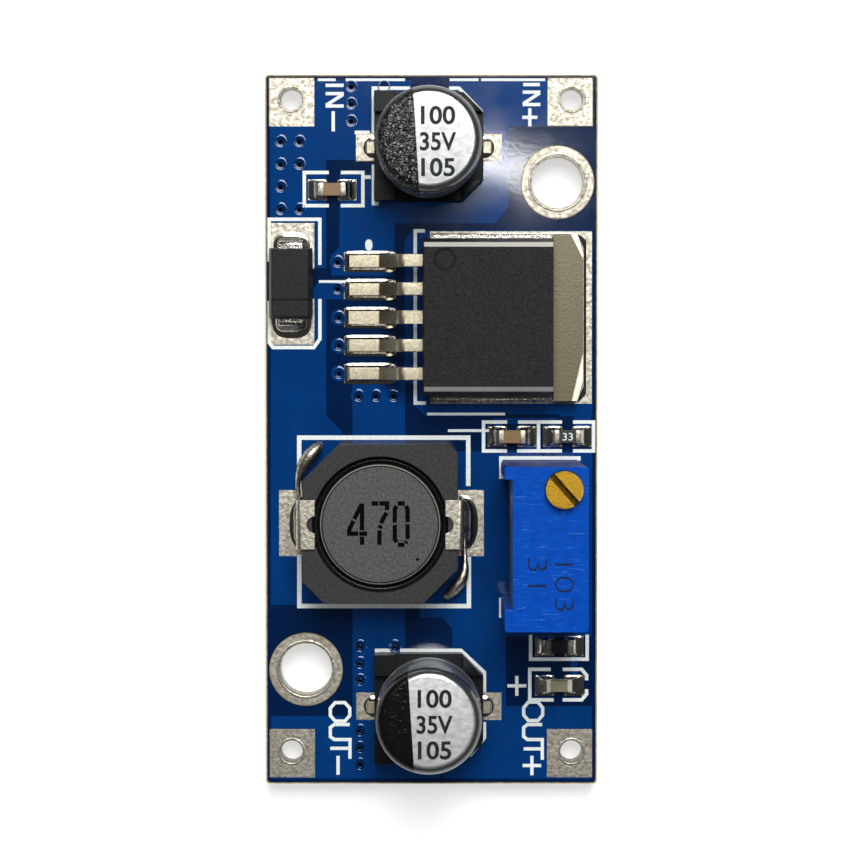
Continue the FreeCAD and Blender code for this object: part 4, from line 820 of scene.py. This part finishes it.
# %% Round every body that shows, by its own width in millimetres
rounding = {
    "regulator_body": (0.04, regulator_epoxy), "regulator_tab": (0.06, tab_tin),
    "regulator_lead_1": (0.05, dull_tin), "regulator_lead_2": (0.05, dull_tin),
    "regulator_lead_4": (0.05, dull_tin), "regulator_lead_5": (0.05, dull_tin),
    "diode_body": (0.10, diode_epoxy), "diode_cathode_lead": (0.04, joint_solder),
    "diode_anode_lead": (0.04, joint_solder), "inductor_shield": (0.09, ferrite_grey),
    "inductor_drum_core": (0.05, ground_ferrite), "inductor_clip_left": (0.05, levelled_tin),
    "inductor_clip_right": (0.05, levelled_tin), "trimmer_housing": (0.06, blue_thermoset),
    "input_capacitor_base": (0.10, base_resin), "output_capacitor_base": (0.10, base_resin),
    "bypass_capacitor_ends": (0.04, levelled_tin),
    "feedback_capacitor_ends": (0.04, levelled_tin),
    "feedback_resistor_ends": (0.04, levelled_tin), "lamp_resistor_ends": (0.04, levelled_tin),
}
for node_name, (width, finish) in rounding.items():
    rounded(node_name, width, finish)

# %% [markdown]
# ## White ink
# Screened ink is a thin, even skin, matt and very white. Its foot is sunk a hundredth of a
# millimetre into the lacquer, so that no gap shows under it.

# %% Ink and its lines
board_top = 1.60
ink_top = board_top + 0.014
ink_foot = board_top - 0.010
white_ink = start_material("screened_white_ink", "#f6fbfa", "#dfe8e5", 0.12, Roughness=0.55)
raise_surface(white_ink, white_ink["spots"], 0.01)


def lift(path):
    """Strokes that cross must not share a face, so each lies a hair higher or lower:
    lift = 0.002 |run along x| / length + 0.0007 (points - 2)."""
    run = np.subtract(path[1], path[0])
    return 0.002 * abs(run[0]) / np.linalg.norm(run) + 0.0007 * (len(path) - 2)


def ink_line(path, width, closed=False):
    """A rectangle width wide, from the ink's foot to its top, carried along the path."""
    half = width / 2
    top = ink_top + lift(path)
    profile = [(-half, ink_foot), (half, ink_foot), (half, top), (-half, top)]
    return carried(path, profile, closed)


print("ink stands", round(ink_top - board_top, 3), "mm above the board")

# %% Outlines of the components, each a line's width and its corners
fine, medium, bold = 0.16, 0.21, 0.27
outlines = [
    (fine, [(-6.90, 21.05), (-5.82, 21.05)]),
    (fine, [(-5.21, 21.05), (-1.61, 21.05)]),
    (fine, [(1.10, 21.05), (2.86, 21.05)]),
    (fine, [(3.01, 21.05), (6.90, 21.05)]),
    (medium, [(-3.53, 17.80), (-3.53, 20.54), (-1.31, 20.54)]),
    (medium, [(1.07, 20.54), (1.67, 20.54), (3.08, 19.08)]),
    (medium, [(-3.53, 15.91), (-3.53, 13.54), (-3.20, 13.54)]),
    (medium, [(-4.66, 17.86), (-3.75, 17.86)]),
    (medium, [(-6.24, 15.43), (-7.73, 15.43), (-7.73, 13.42), (-6.24, 13.42)]),
    (medium, [(-5.51, 15.43), (-4.17, 15.43), (-4.17, 13.42), (-5.51, 13.42)]),
    (medium, [(-4.11, 15.15), (-3.68, 15.15)]),
    (medium, [(-9.87, 10.01), (-9.87, 12.59), (-6.79, 12.59), (-6.79, 9.82)]),
    (medium, [(-6.79, 7.75), (-6.79, 5.32), (-7.16, 4.80), (-9.65, 4.80), (-9.87, 5.10),
              (-9.87, 7.63)]),
    (fine, [(-6.85, 8.81), (-5.21, 8.81), (-4.96, 8.97)]),
    (medium, [(-0.40, 11.89), (-0.99, 11.89), (-0.99, 1.42), (-0.33, 1.42)]),
    (fine, [(-0.27, 0.75), (4.48, 0.75)]),
    (fine, [(1.00, -0.26), (3.93, -0.26)]),
    (medium, [(4.60, 0.26), (3.17, 0.26), (3.17, -1.50), (4.60, -1.50)]),
    (medium, [(5.27, 0.26), (7.95, 0.26)]),
    (medium, [(5.21, -1.50), (7.95, -1.50)]),
    (medium, [(6.52, 0.15), (6.52, -1.39)]),
    (medium, [(8.62, 0.26), (9.87, 0.26), (9.87, -1.50), (8.62, -1.50)]),
    (bold, [(-8.06, -3.88), (-8.06, -0.69), (2.24, -0.69), (2.24, -3.64)]),
    (bold, [(-8.06, -7.84), (-8.06, -10.97), (2.28, -10.97), (2.28, -7.96)]),
    (medium, [(4.48, -3.09), (4.23, -3.09), (4.23, -1.93), (8.98, -1.93), (8.98, -2.48)]),
    (medium, [(4.93, -3.57), (4.93, -10.60)]),
    (bold, [(5.02, -10.60), (4.26, -10.60), (4.26, -11.55), (5.09, -11.55)]),
    (medium, [(6.05, -12.72), (6.05, -14.22), (9.50, -14.22), (9.50, -12.72)]),
    (medium, [(7.28, -14.84), (6.00, -14.84), (6.00, -16.71), (7.46, -16.71)]),
    (medium, [(8.01, -14.84), (9.17, -14.84), (9.47, -15.21), (9.47, -15.51)]),
    (medium, [(8.01, -16.71), (9.17, -16.71), (9.47, -16.36), (9.47, -16.06)]),
    (medium, [(-3.35, -16.24), (-3.35, -13.68), (-2.47, -13.68)]),
    (medium, [(-1.92, -13.68), (1.80, -13.68), (3.23, -15.02), (3.23, -16.24)]),
    (medium, [(3.23, -18.07), (3.23, -19.04), (2.34, -20.14)]),
    (fine, [(-3.35, -20.51), (-2.90, -20.51)]),
]
piece("legend_outlines", [ink_line(path, width) for width, path in outlines],
      white_ink)

# %% [markdown]
# ## Terminal words
# The terminal words are drawn as a draughtsman's lettering: each letter is one or more pen
# strokes on a field 1 wide and 1 high. Blender's own font has other shapes and no even strokes.
# The words read along the board's short ends turned by 90 degrees, as on the real board.

# %% Letters and their places
letter_strokes = {
    "I": [[(0.5, 0), (0.5, 1)]],
    "N": [[(0, 0), (0, 1)], [(0.06, 0.97), (0.94, 0.03)], [(1, 0), (1, 1)]],
    "O": [[(0.3, 0), (0.7, 0), (1, 0.25), (1, 0.75), (0.7, 1), (0.3, 1), (0, 0.75),
           (0, 0.25)]],
    "U": [[(0, 1), (0, 0.2), (0.2, 0), (0.8, 0), (1, 0.2), (1, 1)]],
    "T": [[(0, 1), (1, 1)], [(0.5, 0), (0.5, 1)]],
    "-": [[(0, 0.5), (1, 0.5)]],
    "+": [[(0, 0.5), (1, 0.5)], [(0.5, 0), (0.5, 1)]],
}
word_stroke = 0.20
terminal_marks = [
    ("I", -6.43, -5.33, 20.81, 20.61), ("N", -6.43, -5.33, 20.21, 19.46),
    ("-", -5.97, -5.97, 19.14, 17.92),
    ("I", 5.57, 6.58, 20.86, 20.66), ("N", 5.54, 6.61, 20.30, 19.55),
    ("+", 5.51, 6.43, 19.32, 18.23),
    ("O", -6.18, -4.99, -16.88, -18.01), ("U", -6.18, -4.99, -18.22, -19.14),
    ("T", -6.18, -4.98, -19.04, -20.32), ("-", -5.71, -5.71, -20.14, -21.30),
    ("O", 5.63, 6.79, -16.85, -17.98), ("U", 5.63, 6.76, -18.22, -19.14),
    ("T", 5.63, 6.77, -19.04, -20.38), ("+", 5.57, 6.70, -20.14, -21.33),
    ("+", 4.63, 5.79, -15.24, -16.46),
]
print("terminal letters and marks:", len(terminal_marks))


# %% Draw the words
def letter(mark, foot_x, head_x, start_y, end_y):
    """A letter whose foot is at foot_x and whose head is at head_x, and which reads from
    start_y down to end_y: (across, up) goes to (foot + up * rise, start - across * run)."""
    shapes = []
    for stroke in letter_strokes[mark]:
        across, up = np.array(stroke).T
        path = np.column_stack([foot_x + up * (head_x - foot_x),
                                start_y + across * (end_y - start_y)])
        shapes.append(ink_line(path, word_stroke, closed=mark == "O"))
    return shapes


words = [shape for mark in terminal_marks for shape in letter(*mark)]
piece("legend_words", words, white_ink)

# %% [markdown]
# ## Printed numbers
# Values are stamped or screened on the parts: dark ink on bright cans and on the ferrite, and
# dark digits on the trimmer. Blender's own text gives the shape of rounded digits, where pen
# strokes would look too stiff. It is made a mesh first, and then its points are scaled, turned
# and set down on the face that carries it.

# %% Numbers as flat ink
# Stamped ink soaks in and dries matt; on the blue housing it looks blue-black.
black_ink = start_material("stamped_black_ink", "#17181a", "#2a2b2d", 0.15,
                           specular=0.15, Roughness=0.5)
blue_black_ink = start_material("stamped_blue_black_ink", "#05183a", "#0a2a5c", 0.15,
                                specular=0.15, Roughness=0.5)
ink_depth = 0.012


def number_shape(text, middle, width, height, level, turn=0.0, weight=0.0):
    """Text as a flat solid: its outline, thickened by weight, is fitted to width x height about
    middle, turned about the vertical, and its lowest face lies just under level."""
    curve = bpy.data.curves.new("number", "FONT")
    curve.body = text
    curve.offset = weight
    curve.extrude = 0.5
    curve.resolution_u = 6
    holder = bpy.data.objects.new("number", curve)
    bpy.context.scene.collection.objects.link(holder)
    mesh = bpy.data.meshes.new_from_object(
        holder.evaluated_get(bpy.context.evaluated_depsgraph_get()))
    points = np.empty(len(mesh.vertices) * 3)
    mesh.vertices.foreach_get("co", points)
    points = points.reshape(-1, 3)
    faces = [list(face.vertices) for face in mesh.polygons]
    bpy.data.objects.remove(holder)
    bpy.data.curves.remove(curve)
    bpy.data.meshes.remove(mesh)
    low, high = points.min(axis=0), points.max(axis=0)
    points = (points - (low + high) / 2) / (high - low) * (width, height, ink_depth)
    cosine, sine = math.cos(math.radians(turn)), math.sin(math.radians(turn))
    x = points[:, 0] * cosine - points[:, 1] * sine + middle[0]
    y = points[:, 0] * sine + points[:, 1] * cosine + middle[1]
    return np.column_stack([x, y, points[:, 2] + level + ink_depth / 3]), faces


print("ink on parts is", ink_depth, "mm thick")

# %% The numbers of the cans: text, place across the can's middle and width
can_number_lines = (("100", 1.36, 2.00), ("35V", -0.16, 2.12), ("105", -1.66, 1.96))
can_number_shift = {"input": 0.54, "output": 0.34}
can_number_height, can_number_weight = 1.08, 0.022
for side, shift_x in can_number_shift.items():
    middle, top = middle_of(f"{side}_capacitor_can")
    rows = [number_shape(text, middle[:2] + (shift_x, shift_y), width, can_number_height, top,
                         weight=can_number_weight)
            for text, shift_y, width in can_number_lines]
    piece(f"{side}_can_number", rows, black_ink)

# %% [markdown]
# ## The inductor's stencilled number
# The ferrite's number is burnt in through a stencil, whose bridges leave small gaps in each
# digit. No font has these gaps in these places, so the digits are pen strokes again.

# %% Strokes of the stencilled digits
stamped_strokes = {
    "4": [[(0.70, 0.98), (0.28, 0.62)], [(0.24, 0.58), (0, 0.36), (0, 0.27), (0.50, 0.27)],
          [(0.56, 0.27), (1, 0.27)], [(0.72, 1), (0.72, 0.35)], [(0.72, 0.20), (0.72, 0)]],
    "7": [[(0, 1), (0.44, 1)], [(0.50, 1), (1, 1), (1, 0.84)], [(0.96, 0.78), (0.60, 0.52)],
          [(0.62, 0.47), (0.50, 0.40)], [(0.52, 0.35), (0.50, 0)]],
    "0": [[(0.22, 1), (0.78, 1)], [(0.86, 0.94), (1, 0.86), (1, 0.55)], [(1, 0.50), (1, 0.14)],
          [(0.94, 0.08), (0.84, 0.04)], [(0.76, 0), (0.24, 0)],
          [(0.14, 0.06), (0, 0.14), (0, 0.48)], [(0, 0.54), (0, 0.86), (0.14, 0.94)]],
}
stamped_digits = (("4", -4.36, 1.06), ("7", -3.10, 0.92), ("0", -1.80, 0.76))
stamped_foot, stamped_height, stamped_stroke = -6.92, 2.46, 0.26
print("strokes in each digit:", {digit: len(path) for digit, path in stamped_strokes.items()})


# %% Burn the number in
def flat_line(path, width, level):
    """A line of ink on a face at this level: it starts just under the face."""
    half = width / 2
    low, high = level - ink_depth / 2, level + ink_depth / 2 + lift(path)
    return carried(path, [(-half, low), (half, low), (half, high), (-half, high)])


middle, drum_top = middle_of("inductor_drum_core")
stamped = []
for digit, middle_x, width in stamped_digits:
    for stroke in stamped_strokes[digit]:
        field = (np.array(stroke) - (0.5, 0)) * (width, stamped_height)
        stamped.append(flat_line(field + (middle_x, stamped_foot), stamped_stroke, drum_top))
# A burnt mark is soot: it gives back almost no light.
burnt_ink = start_material("burnt_black_ink", "#050505", "#0c0c0c", 0.15, specular=0.02,
                           Roughness=0.8)
piece("inductor_number", stamped, burnt_ink)

# %% Stamped digits of the trimmer and the resistor
quarter_turn, thin = -90, -0.02
middle, trimmer_top = middle_of("trimmer_housing")
rows = [number_shape("103", middle[:2] + (1.01, -2.16), 2.75, 1.08, trimmer_top, quarter_turn,
                     thin),
        number_shape("31", middle[:2] + (-0.55, -1.31), 1.70, 1.12, trimmer_top, quarter_turn,
                     thin)]
piece("trimmer_number", rows, blue_black_ink)
middle, resistor_top = middle_of("feedback_resistor_body")
rows = [number_shape("33", middle[:2], 0.62, 0.46, resistor_top)]
piece("resistor_number", rows, white_ink)

# %% [markdown]
# ## Glue in the inductor's gap
# The drum is glued into its shield with black epoxy, which fills the round gap and sinks in
# the middle. A flat ring would be simpler, but the sag is what mirrors the lamp as a thin line.
# So its section is a shallow dish, height = level - sag sin(pi share), turned about the axis.

# %% The ring of glue
gap_inner, gap_outer = 3.62, 4.05
glue_level, glue_sag, glue_depth = 5.75, 0.16, 0.5
across = np.linspace(0, 1, 9)
glue_top = np.column_stack([gap_outer + (gap_inner - gap_outer) * across,
                            glue_level - glue_sag * np.sin(math.pi * across)])
glue_profile = [(gap_inner, glue_level - glue_depth), (gap_outer, glue_level - glue_depth),
                *glue_top]
# Cast epoxy is black and half glossy.
glue_epoxy = start_material("black_gap_glue", "#101010", "#191919", 0.4, specular=0.3,
                            Roughness=0.25)
middle, drum_top = middle_of("inductor_drum_core")
piece("core_glue", [revolved(glue_profile, middle[:2])], glue_epoxy,
      smooth=True)

# %% [markdown]
# ## The cans
# A can is drawn from one aluminium disc, so its shoulder is round, and a bead is rolled into
# it over the rubber seal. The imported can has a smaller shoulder. Rounding a copy of it would
# leave small facets, which bright metal shows at once. So the shell is a profile turned about
# the can's axis, and its poles are merged to one point each.

# %% The can's profile
can_top, can_foot, can_radius, can_wall = 9.305, 2.605, 3.15, 0.25
shoulder_radius, foot_radius, lip_radius = 0.56, 0.30, 2.30
bead_level, bead_half, bead_depth = 4.055, 0.33, 0.26


def can_profile():
    """From the pole over the top and the shoulder, down the wall with its bead
    r = radius - depth (1 + cos(pi u)) / 2, round the foot, and back up the inside."""
    quarter = np.linspace(0, math.pi / 2, 12)
    u = np.linspace(-1, 1, 15)
    shoulder = np.column_stack([can_radius - shoulder_radius * (1 - np.sin(quarter)),
                                can_top - shoulder_radius * (1 - np.cos(quarter))])
    bead = np.column_stack([can_radius - bead_depth * (1 + np.cos(math.pi * u)) / 2,
                            bead_level - bead_half * u])
    foot = np.column_stack([can_radius - foot_radius * (1 - np.cos(quarter)),
                            can_foot + foot_radius * (1 - np.sin(quarter))])
    inner, roof = can_radius - can_wall - bead_depth, can_top - can_wall
    inside = [(lip_radius, can_foot), (lip_radius, can_foot + can_wall),
              (inner, can_foot + can_wall), (inner, roof), (0, roof)]
    return np.vstack([[(0, can_top)], shoulder, bead, foot, inside])[::-1]


print("points in the can's profile:", len(can_profile()))

# %% Turn the cans
for side in ("input", "output"):
    node_name = f"{side}_capacitor_can"
    middle, top = middle_of(node_name)
    points, faces = revolved(can_profile(), middle[:2], 128)
    mesh = bpy.data.meshes.new(f"{side}_can_shell")
    mesh.from_pydata((points * mm).tolist(), [], faces)
    shell = bmesh.new()
    shell.from_mesh(mesh)
    bmesh.ops.remove_doubles(shell, verts=shell.verts, dist=same_point * mm)
    shell.to_mesh(mesh)
    shell.free()
    made = set_down(f"{side}_can_shell", mesh, printed_cans[side],
                    smooth=True)
    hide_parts(node_name)

# %% [markdown]
# ## Solder
# Molten solder creeps up metal and sags between: it starts nearly flat at the rim of its land
# and ends steep on the lead. The flat rim mirrors the lamp as a thin white line on the side
# that faces it, and the steep part mirrors the dark ceiling. A plain fillet has one slope and
# so one tone. Each joint is a skin stretched between two outlines instead, a wide one on the
# land and a narrow one on the lead, and the height's power makes the sag.

# %% An oval, and a skin between two outlines
def oval(middle, reach, squareness, steps=48):
    """A closed outline, anticlockwise: x = middle + reach s |cos t|^q, s being the cosine's
    sign, and y likewise with the sine. q = 1 gives an ellipse, and a small q a rectangle."""
    t = np.linspace(0, 2 * math.pi, steps, endpoint=False)
    unit = np.column_stack([np.cos(t), np.sin(t)])
    return np.asarray(middle) + np.asarray(reach) * np.sign(unit) * np.abs(unit) ** squareness


def meniscus(lower, upper, floor, crest, hollow=4.0, rim_slope=0.20, rows=12):
    """At share s the outline is lower + (upper - lower) s. With w the distance between the two
    outlines there, the height is floor + rim_slope w s + (crest - floor - rim_slope w) s to
    the power hollow."""
    share = np.linspace(0, 1, rows)[:, None]
    lower, upper = np.asarray(lower, float), np.asarray(upper, float)
    rim = rim_slope * np.linalg.norm(upper - lower, axis=1)[None, :]
    flat = lower[None] + (upper - lower)[None] * share[:, :, None]
    rise = floor + rim * share + (crest - floor - rim) * share ** hollow
    points = np.concatenate([flat, rise[:, :, None]], axis=2).reshape(-1, 3)
    count = len(lower)
    faces = grid_faces(rows, count, False, True).tolist()
    faces.append(list(range(count))[::-1])
    faces.append([len(points) - count + i for i in range(count)])
    return points, faces


print("an oval's reach:", oval((0, 0), (2, 1), 0.5).max(axis=0))

# %% Solder under the regulator's leads and round its tab
land_level = 1.603
lead_skirt_x, lead_skirt_reach, skirt_squareness = -3.78, (1.52, 0.64), 0.22
lead_hold_x, lead_hold_reach, hold_squareness = -3.88, (1.13, 0.39), 0.12
skirt_shift_y = -0.01
lead_boxes = [extent(f"regulator_lead_{number}") for number in (1, 2, 4, 5)]
lead_middles = [(low[1] + high[1]) / 2 for low, high in lead_boxes]
lead_middles.insert(2, (lead_middles[1] + lead_middles[2]) / 2)
joints = []
for middle_y in lead_middles:
    skirt = oval((lead_skirt_x, middle_y + skirt_shift_y), lead_skirt_reach, skirt_squareness)
    hold = oval((lead_hold_x, middle_y), lead_hold_reach, hold_squareness)
    joints.append(meniscus(skirt, hold, land_level, crest=1.93, hollow=7.0))
tab_skirt = [(0.0, 1.50), (9.00, 1.50), (9.42, 1.95), (9.42, 11.29), (9.00, 11.74),
             (0.0, 11.74)]
tab_hold = [(0.0, 1.60), (8.80, 1.60), (9.12, 2.80), (9.12, 10.44), (8.80, 11.64),
            (0.0, 11.64)]
joints.append(meniscus(tab_skirt, tab_hold, land_level, crest=1.95))
print("joints of the regulator:", len(joints))

# %% Solder of the diode, the clips and the capacitor leads
# Each row has the skirt's middle, reach and squareness, the same of the hold, then the crest
# and the hollow. The diode's two joints come first, then those of the left and right clip.
upright_joints = [
    ((-8.50, 10.85), (1.13, 0.97), 0.75, (-8.50, 10.85), (0.70, 0.40), 0.2, 2.60, 8.0),
    ((-8.50, 6.50), (1.22, 1.16), 0.75, (-8.50, 6.50), (0.70, 0.40), 0.2, 2.45, 4.0),
    ((-8.05, -5.98), (0.62, 1.42), 0.9, (-7.95, -5.80), (0.07, 1.10), 0.3, 2.9, 4.0),
    ((1.95, -5.88), (0.90, 1.66), 0.9, (1.85, -5.80), (0.07, 1.10), 0.3, 2.9, 4.0),
]
joint_inset = 0.42
for row in upright_joints:
    skirt, hold = oval(*row[:3]), oval(*row[3:6])
    joints.append(meniscus(skirt, hold, land_level, crest=row[6], hollow=row[7]))
for node_name in ("input_capacitor_leads", "output_capacitor_leads"):
    low, high = extent(node_name)
    middle_y = (low[1] + high[1]) / 2
    for end_x, side in ((low[0], -1), (high[0], 1)):
        joint_x = end_x - side * joint_inset
        skirt = oval((joint_x, middle_y), (0.66, 0.66), 1.0)
        hold = oval((joint_x, middle_y), (0.41, 0.31), 0.2)
        joints.append(meniscus(skirt, hold, land_level, crest=1.79))
print("joints so far:", len(joints))

# %% [markdown]
# ## The coil's soldered ends
# The coil's two ends are bent round the shield and dipped in solder, which freezes on them in
# long drops, so each end is thin, swells and thins out again on its clip. A curve with a round
# bevel could do it, but a tube on a grid takes a radius at each point of its path as it is.

# %% A tube along a path
rings_per_point, smoothing_rounds = 8, 5


def swept(path, radii, sides=16):
    """A tube through path points (x, y, z), smoothed: each ring is point + radius (side cos a +
    up sin a), side and up being square to the path. Both ends are closed."""
    path, radii = np.asarray(path, float), np.asarray(radii, float)
    steps = np.linspace(0, len(path) - 1, rings_per_point * (len(path) - 1) + 1)
    whole = np.arange(len(path))
    line = np.column_stack([np.interp(steps, whole, path[:, i]) for i in range(3)])
    reach = np.interp(steps, whole, radii)
    for _ in range(smoothing_rounds):
        line[1:-1] = (line[:-2] + 2 * line[1:-1] + line[2:]) / 4
        reach[1:-1] = (reach[:-2] + 2 * reach[1:-1] + reach[2:]) / 4
    run = np.gradient(line, axis=0)
    run /= np.linalg.norm(run, axis=1)[:, None]
    side = np.cross(run, (0, 0, 1))
    side /= np.linalg.norm(side, axis=1)[:, None]
    up = np.cross(side, run)
    angle = np.linspace(0, 2 * math.pi, sides, endpoint=False)
    cosine, sine = np.cos(angle)[None, :, None], np.sin(angle)[None, :, None]
    ring = side[:, None] * cosine + up[:, None] * sine
    points = (line[:, None] + ring * reach[:, None, None]).reshape(-1, 3)
    faces = grid_faces(len(line), sides, False, True)[:, ::-1].tolist()
    faces.append(list(range(sides)))
    faces.append([len(points) - sides + i for i in range(sides)][::-1])
    return points, faces


print("rings on a tube of 8 points:", rings_per_point * 7 + 1)

# %% The two wire ends
upper_wire = [(-6.60, -1.06, 2.50), (-6.72, -1.12, 2.50), (-7.08, -1.42, 2.58),
              (-7.42, -1.80, 2.62), (-7.80, -2.35, 2.58), (-8.02, -2.90, 2.48),
              (-8.13, -3.50, 2.36), (-8.08, -4.50, 2.32)]
lower_wire = [(0.78, -10.42, 2.50), (0.90, -10.32, 2.50), (1.38, -9.87, 2.56),
              (1.82, -9.30, 2.56), (2.02, -8.70, 2.50), (2.04, -8.10, 2.40),
              (2.02, -7.50, 2.35), (2.00, -6.80, 2.32)]
wires = [swept(upper_wire, [0.06, 0.27, 0.38, 0.42, 0.36, 0.24, 0.15, 0.13]),
         swept(lower_wire, [0.05, 0.24, 0.35, 0.37, 0.27, 0.16, 0.12, 0.12])]
# Solder that froze on a dipped wire is lumpy and half matt.
dipped_solder = start_material("dip_soldered_wire", "#d9d4c6", "#8d8674", 0.30, Metallic=1.0)
raise_surface(dipped_solder, dipped_solder["spots"], 0.05)
vary_roughness(dipped_solder, 0.28, 0.42)
soldered_wire = piece("soldered_wire_ends", wires, dipped_solder, smooth=True)
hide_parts("inductor_wire_ends")

# %% [markdown]
# ## The chips' joints
# A chip's solder climbs the tinned caps at its two ends: most of the way on a thick capacitor,
# and less on a flat resistor. The joint is the same skin again, with a hold as thin as a cap.
# All joints are one piece, because they are one material that nobody takes apart.

# %% Solder of the chips, with how far it climbs up each one's ends
chip_skirt_x, chip_skirt_reach = 0.90, (0.56, 0.62)
chip_hold_x, chip_hold_reach = 0.77, (0.05, 0.36)
chip_nodes = {"bypass_capacitor_ends": 0.66, "feedback_capacitor_ends": 0.66,
              "feedback_resistor_ends": 0.36, "lamp_resistor_ends": 0.36, "lamp_ends": 0.22}
for node_name, climb in chip_nodes.items():
    middle, top = middle_of(node_name)
    for side in (-1, 1):
        skirt = oval((middle[0] + side * chip_skirt_x, middle[1]), chip_skirt_reach, 0.28)
        hold = oval((middle[0] + side * chip_hold_x, middle[1]), chip_hold_reach, 0.2)
        joints.append(meniscus(skirt, hold, land_level, crest=land_level + climb))
solder = piece("reflowed_joints", joints, joint_solder, smooth=True)
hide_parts("solder_fillets")

# %% [markdown]
# ## Rims of holes
# A via is a plated hole under the lacquer: the lacquer sinks into it and leaves a glossy ring
# round a well, whose near-black colour is painted shade. The ring could be a bump in the
# lacquer's material, but its outline shows from the side, so it is turned like the cans, with few
# steps because there are many of them.

# %% Places of the vias
def column(x, y, step, count):
    """Places in a row down the board: (x, y - i step) for each i under count."""
    return [(x, y - i * step) for i in range(count)]


via_places = column(-9.17, 17.30, 1.37, 4) + column(-8.02, 17.30, 1.37, 2) + [(-8.02, 13.19)]
via_places += column(-4.88, 20.64, 1.05, 3) + [(-2.89, 20.64)] + column(-5.70, 9.98, 1.62, 2)
via_places += [(-4.45, 1.83), (-3.38, 1.83), (-2.31, 1.83)] + column(-4.36, -13.44, 1.04, 3)
via_places += [(-2.24, -13.44)] + column(-4.36, -18.62, 1.03, 3)
via_places += column(-5.63, 6.62, 1.702, 3)
print("vias:", len(via_places))

# %% Rims and wells, each a profile of radii and heights
via_rim = [(0.26, 1.590), (0.44, 1.590), (0.44, 1.600), (0.40, 1.613), (0.35, 1.619),
           (0.30, 1.613), (0.27, 1.600)]
via_well = [(0.10, 1.560), (0.27, 1.585), (0.27, 1.604), (0.22, 1.6035), (0.15, 1.590),
            (0.11, 1.570)]
# Lacquer deep in a hole gets no light, and is still glossy: its near-black colour is painted
# shade.
via_well_painted_shade = start_material("painted_shade_in_a_well", "#000a1c", "#000613", 0.3, Roughness=0.08)
piece("via_rims", [revolved(via_rim, place, 28) for place in via_places], mask_lacquer,
      smooth=True)
piece("via_wells", [revolved(via_well, place, 28) for place in via_places], via_well_painted_shade,
      smooth=True)

# %% [markdown]
# ## Plated lips
# The mounting and terminal holes are plated through, and tin rounds their edge to a soft lip.
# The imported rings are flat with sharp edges. A thin sleeve with a quarter arc at its top is
# turned for each hole, and the light runs round the arc.

# %% Lips of the holes
arc = np.linspace(0, math.pi / 2, 7)
mounting_lip = [(1.57, 0.02), (1.605, 0.02), (1.605, 1.59), (1.80, 1.59), (1.80, 1.606)]
mounting_lip += [(1.72 - 0.15 * math.sin(a), 1.475 + 0.155 * math.cos(a)) for a in arc]
lips = []
for node_name in ("mounting_ring_in", "mounting_ring_out"):
    middle, top = middle_of(node_name)
    lips.append(revolved(mounting_lip, middle[:2], 96))
terminal_lip = [(0.66, 0.02), (0.685, 0.02), (0.685, 1.59), (0.84, 1.59), (0.84, 1.606)]
terminal_lip += [(0.77 - 0.11 * math.sin(a), 1.512 + 0.115 * math.cos(a)) for a in arc]
for x in (-8.535, 8.535):
    for y in (-19.875, 19.875):
        lips.append(revolved(terminal_lip, (x, y), 64))
piece("plated_lips", lips, levelled_tin, smooth=True)

# %% [markdown]
# ## Two dots
# A drop of white ink marks the regulator's first pin, and a burnt dot the start of the coil.
# Both are flat drops with an even slope, so the skin between two outlines makes them too.

# %% Pin-one dot and the dot on the drum
flat_drop = {"hollow": 1.0, "rim_slope": 0.0, "rows": 3}
dot = meniscus(oval((-3.81, 11.04), (0.24, 0.36), 0.85),
               oval((-3.81, 11.02), (0.20, 0.31), 0.85), ink_foot, ink_top, **flat_drop)
piece("legend_dot", [dot], white_ink)
drum_dot = meniscus(oval((-0.83, -7.79), (0.10, 0.10), 1),
                    oval((-0.83, -7.79), (0.09, 0.09), 1),
                    drum_top - ink_depth / 2, drum_top + ink_depth / 2, **flat_drop)
piece("drum_dot", [drum_dot], burnt_ink)
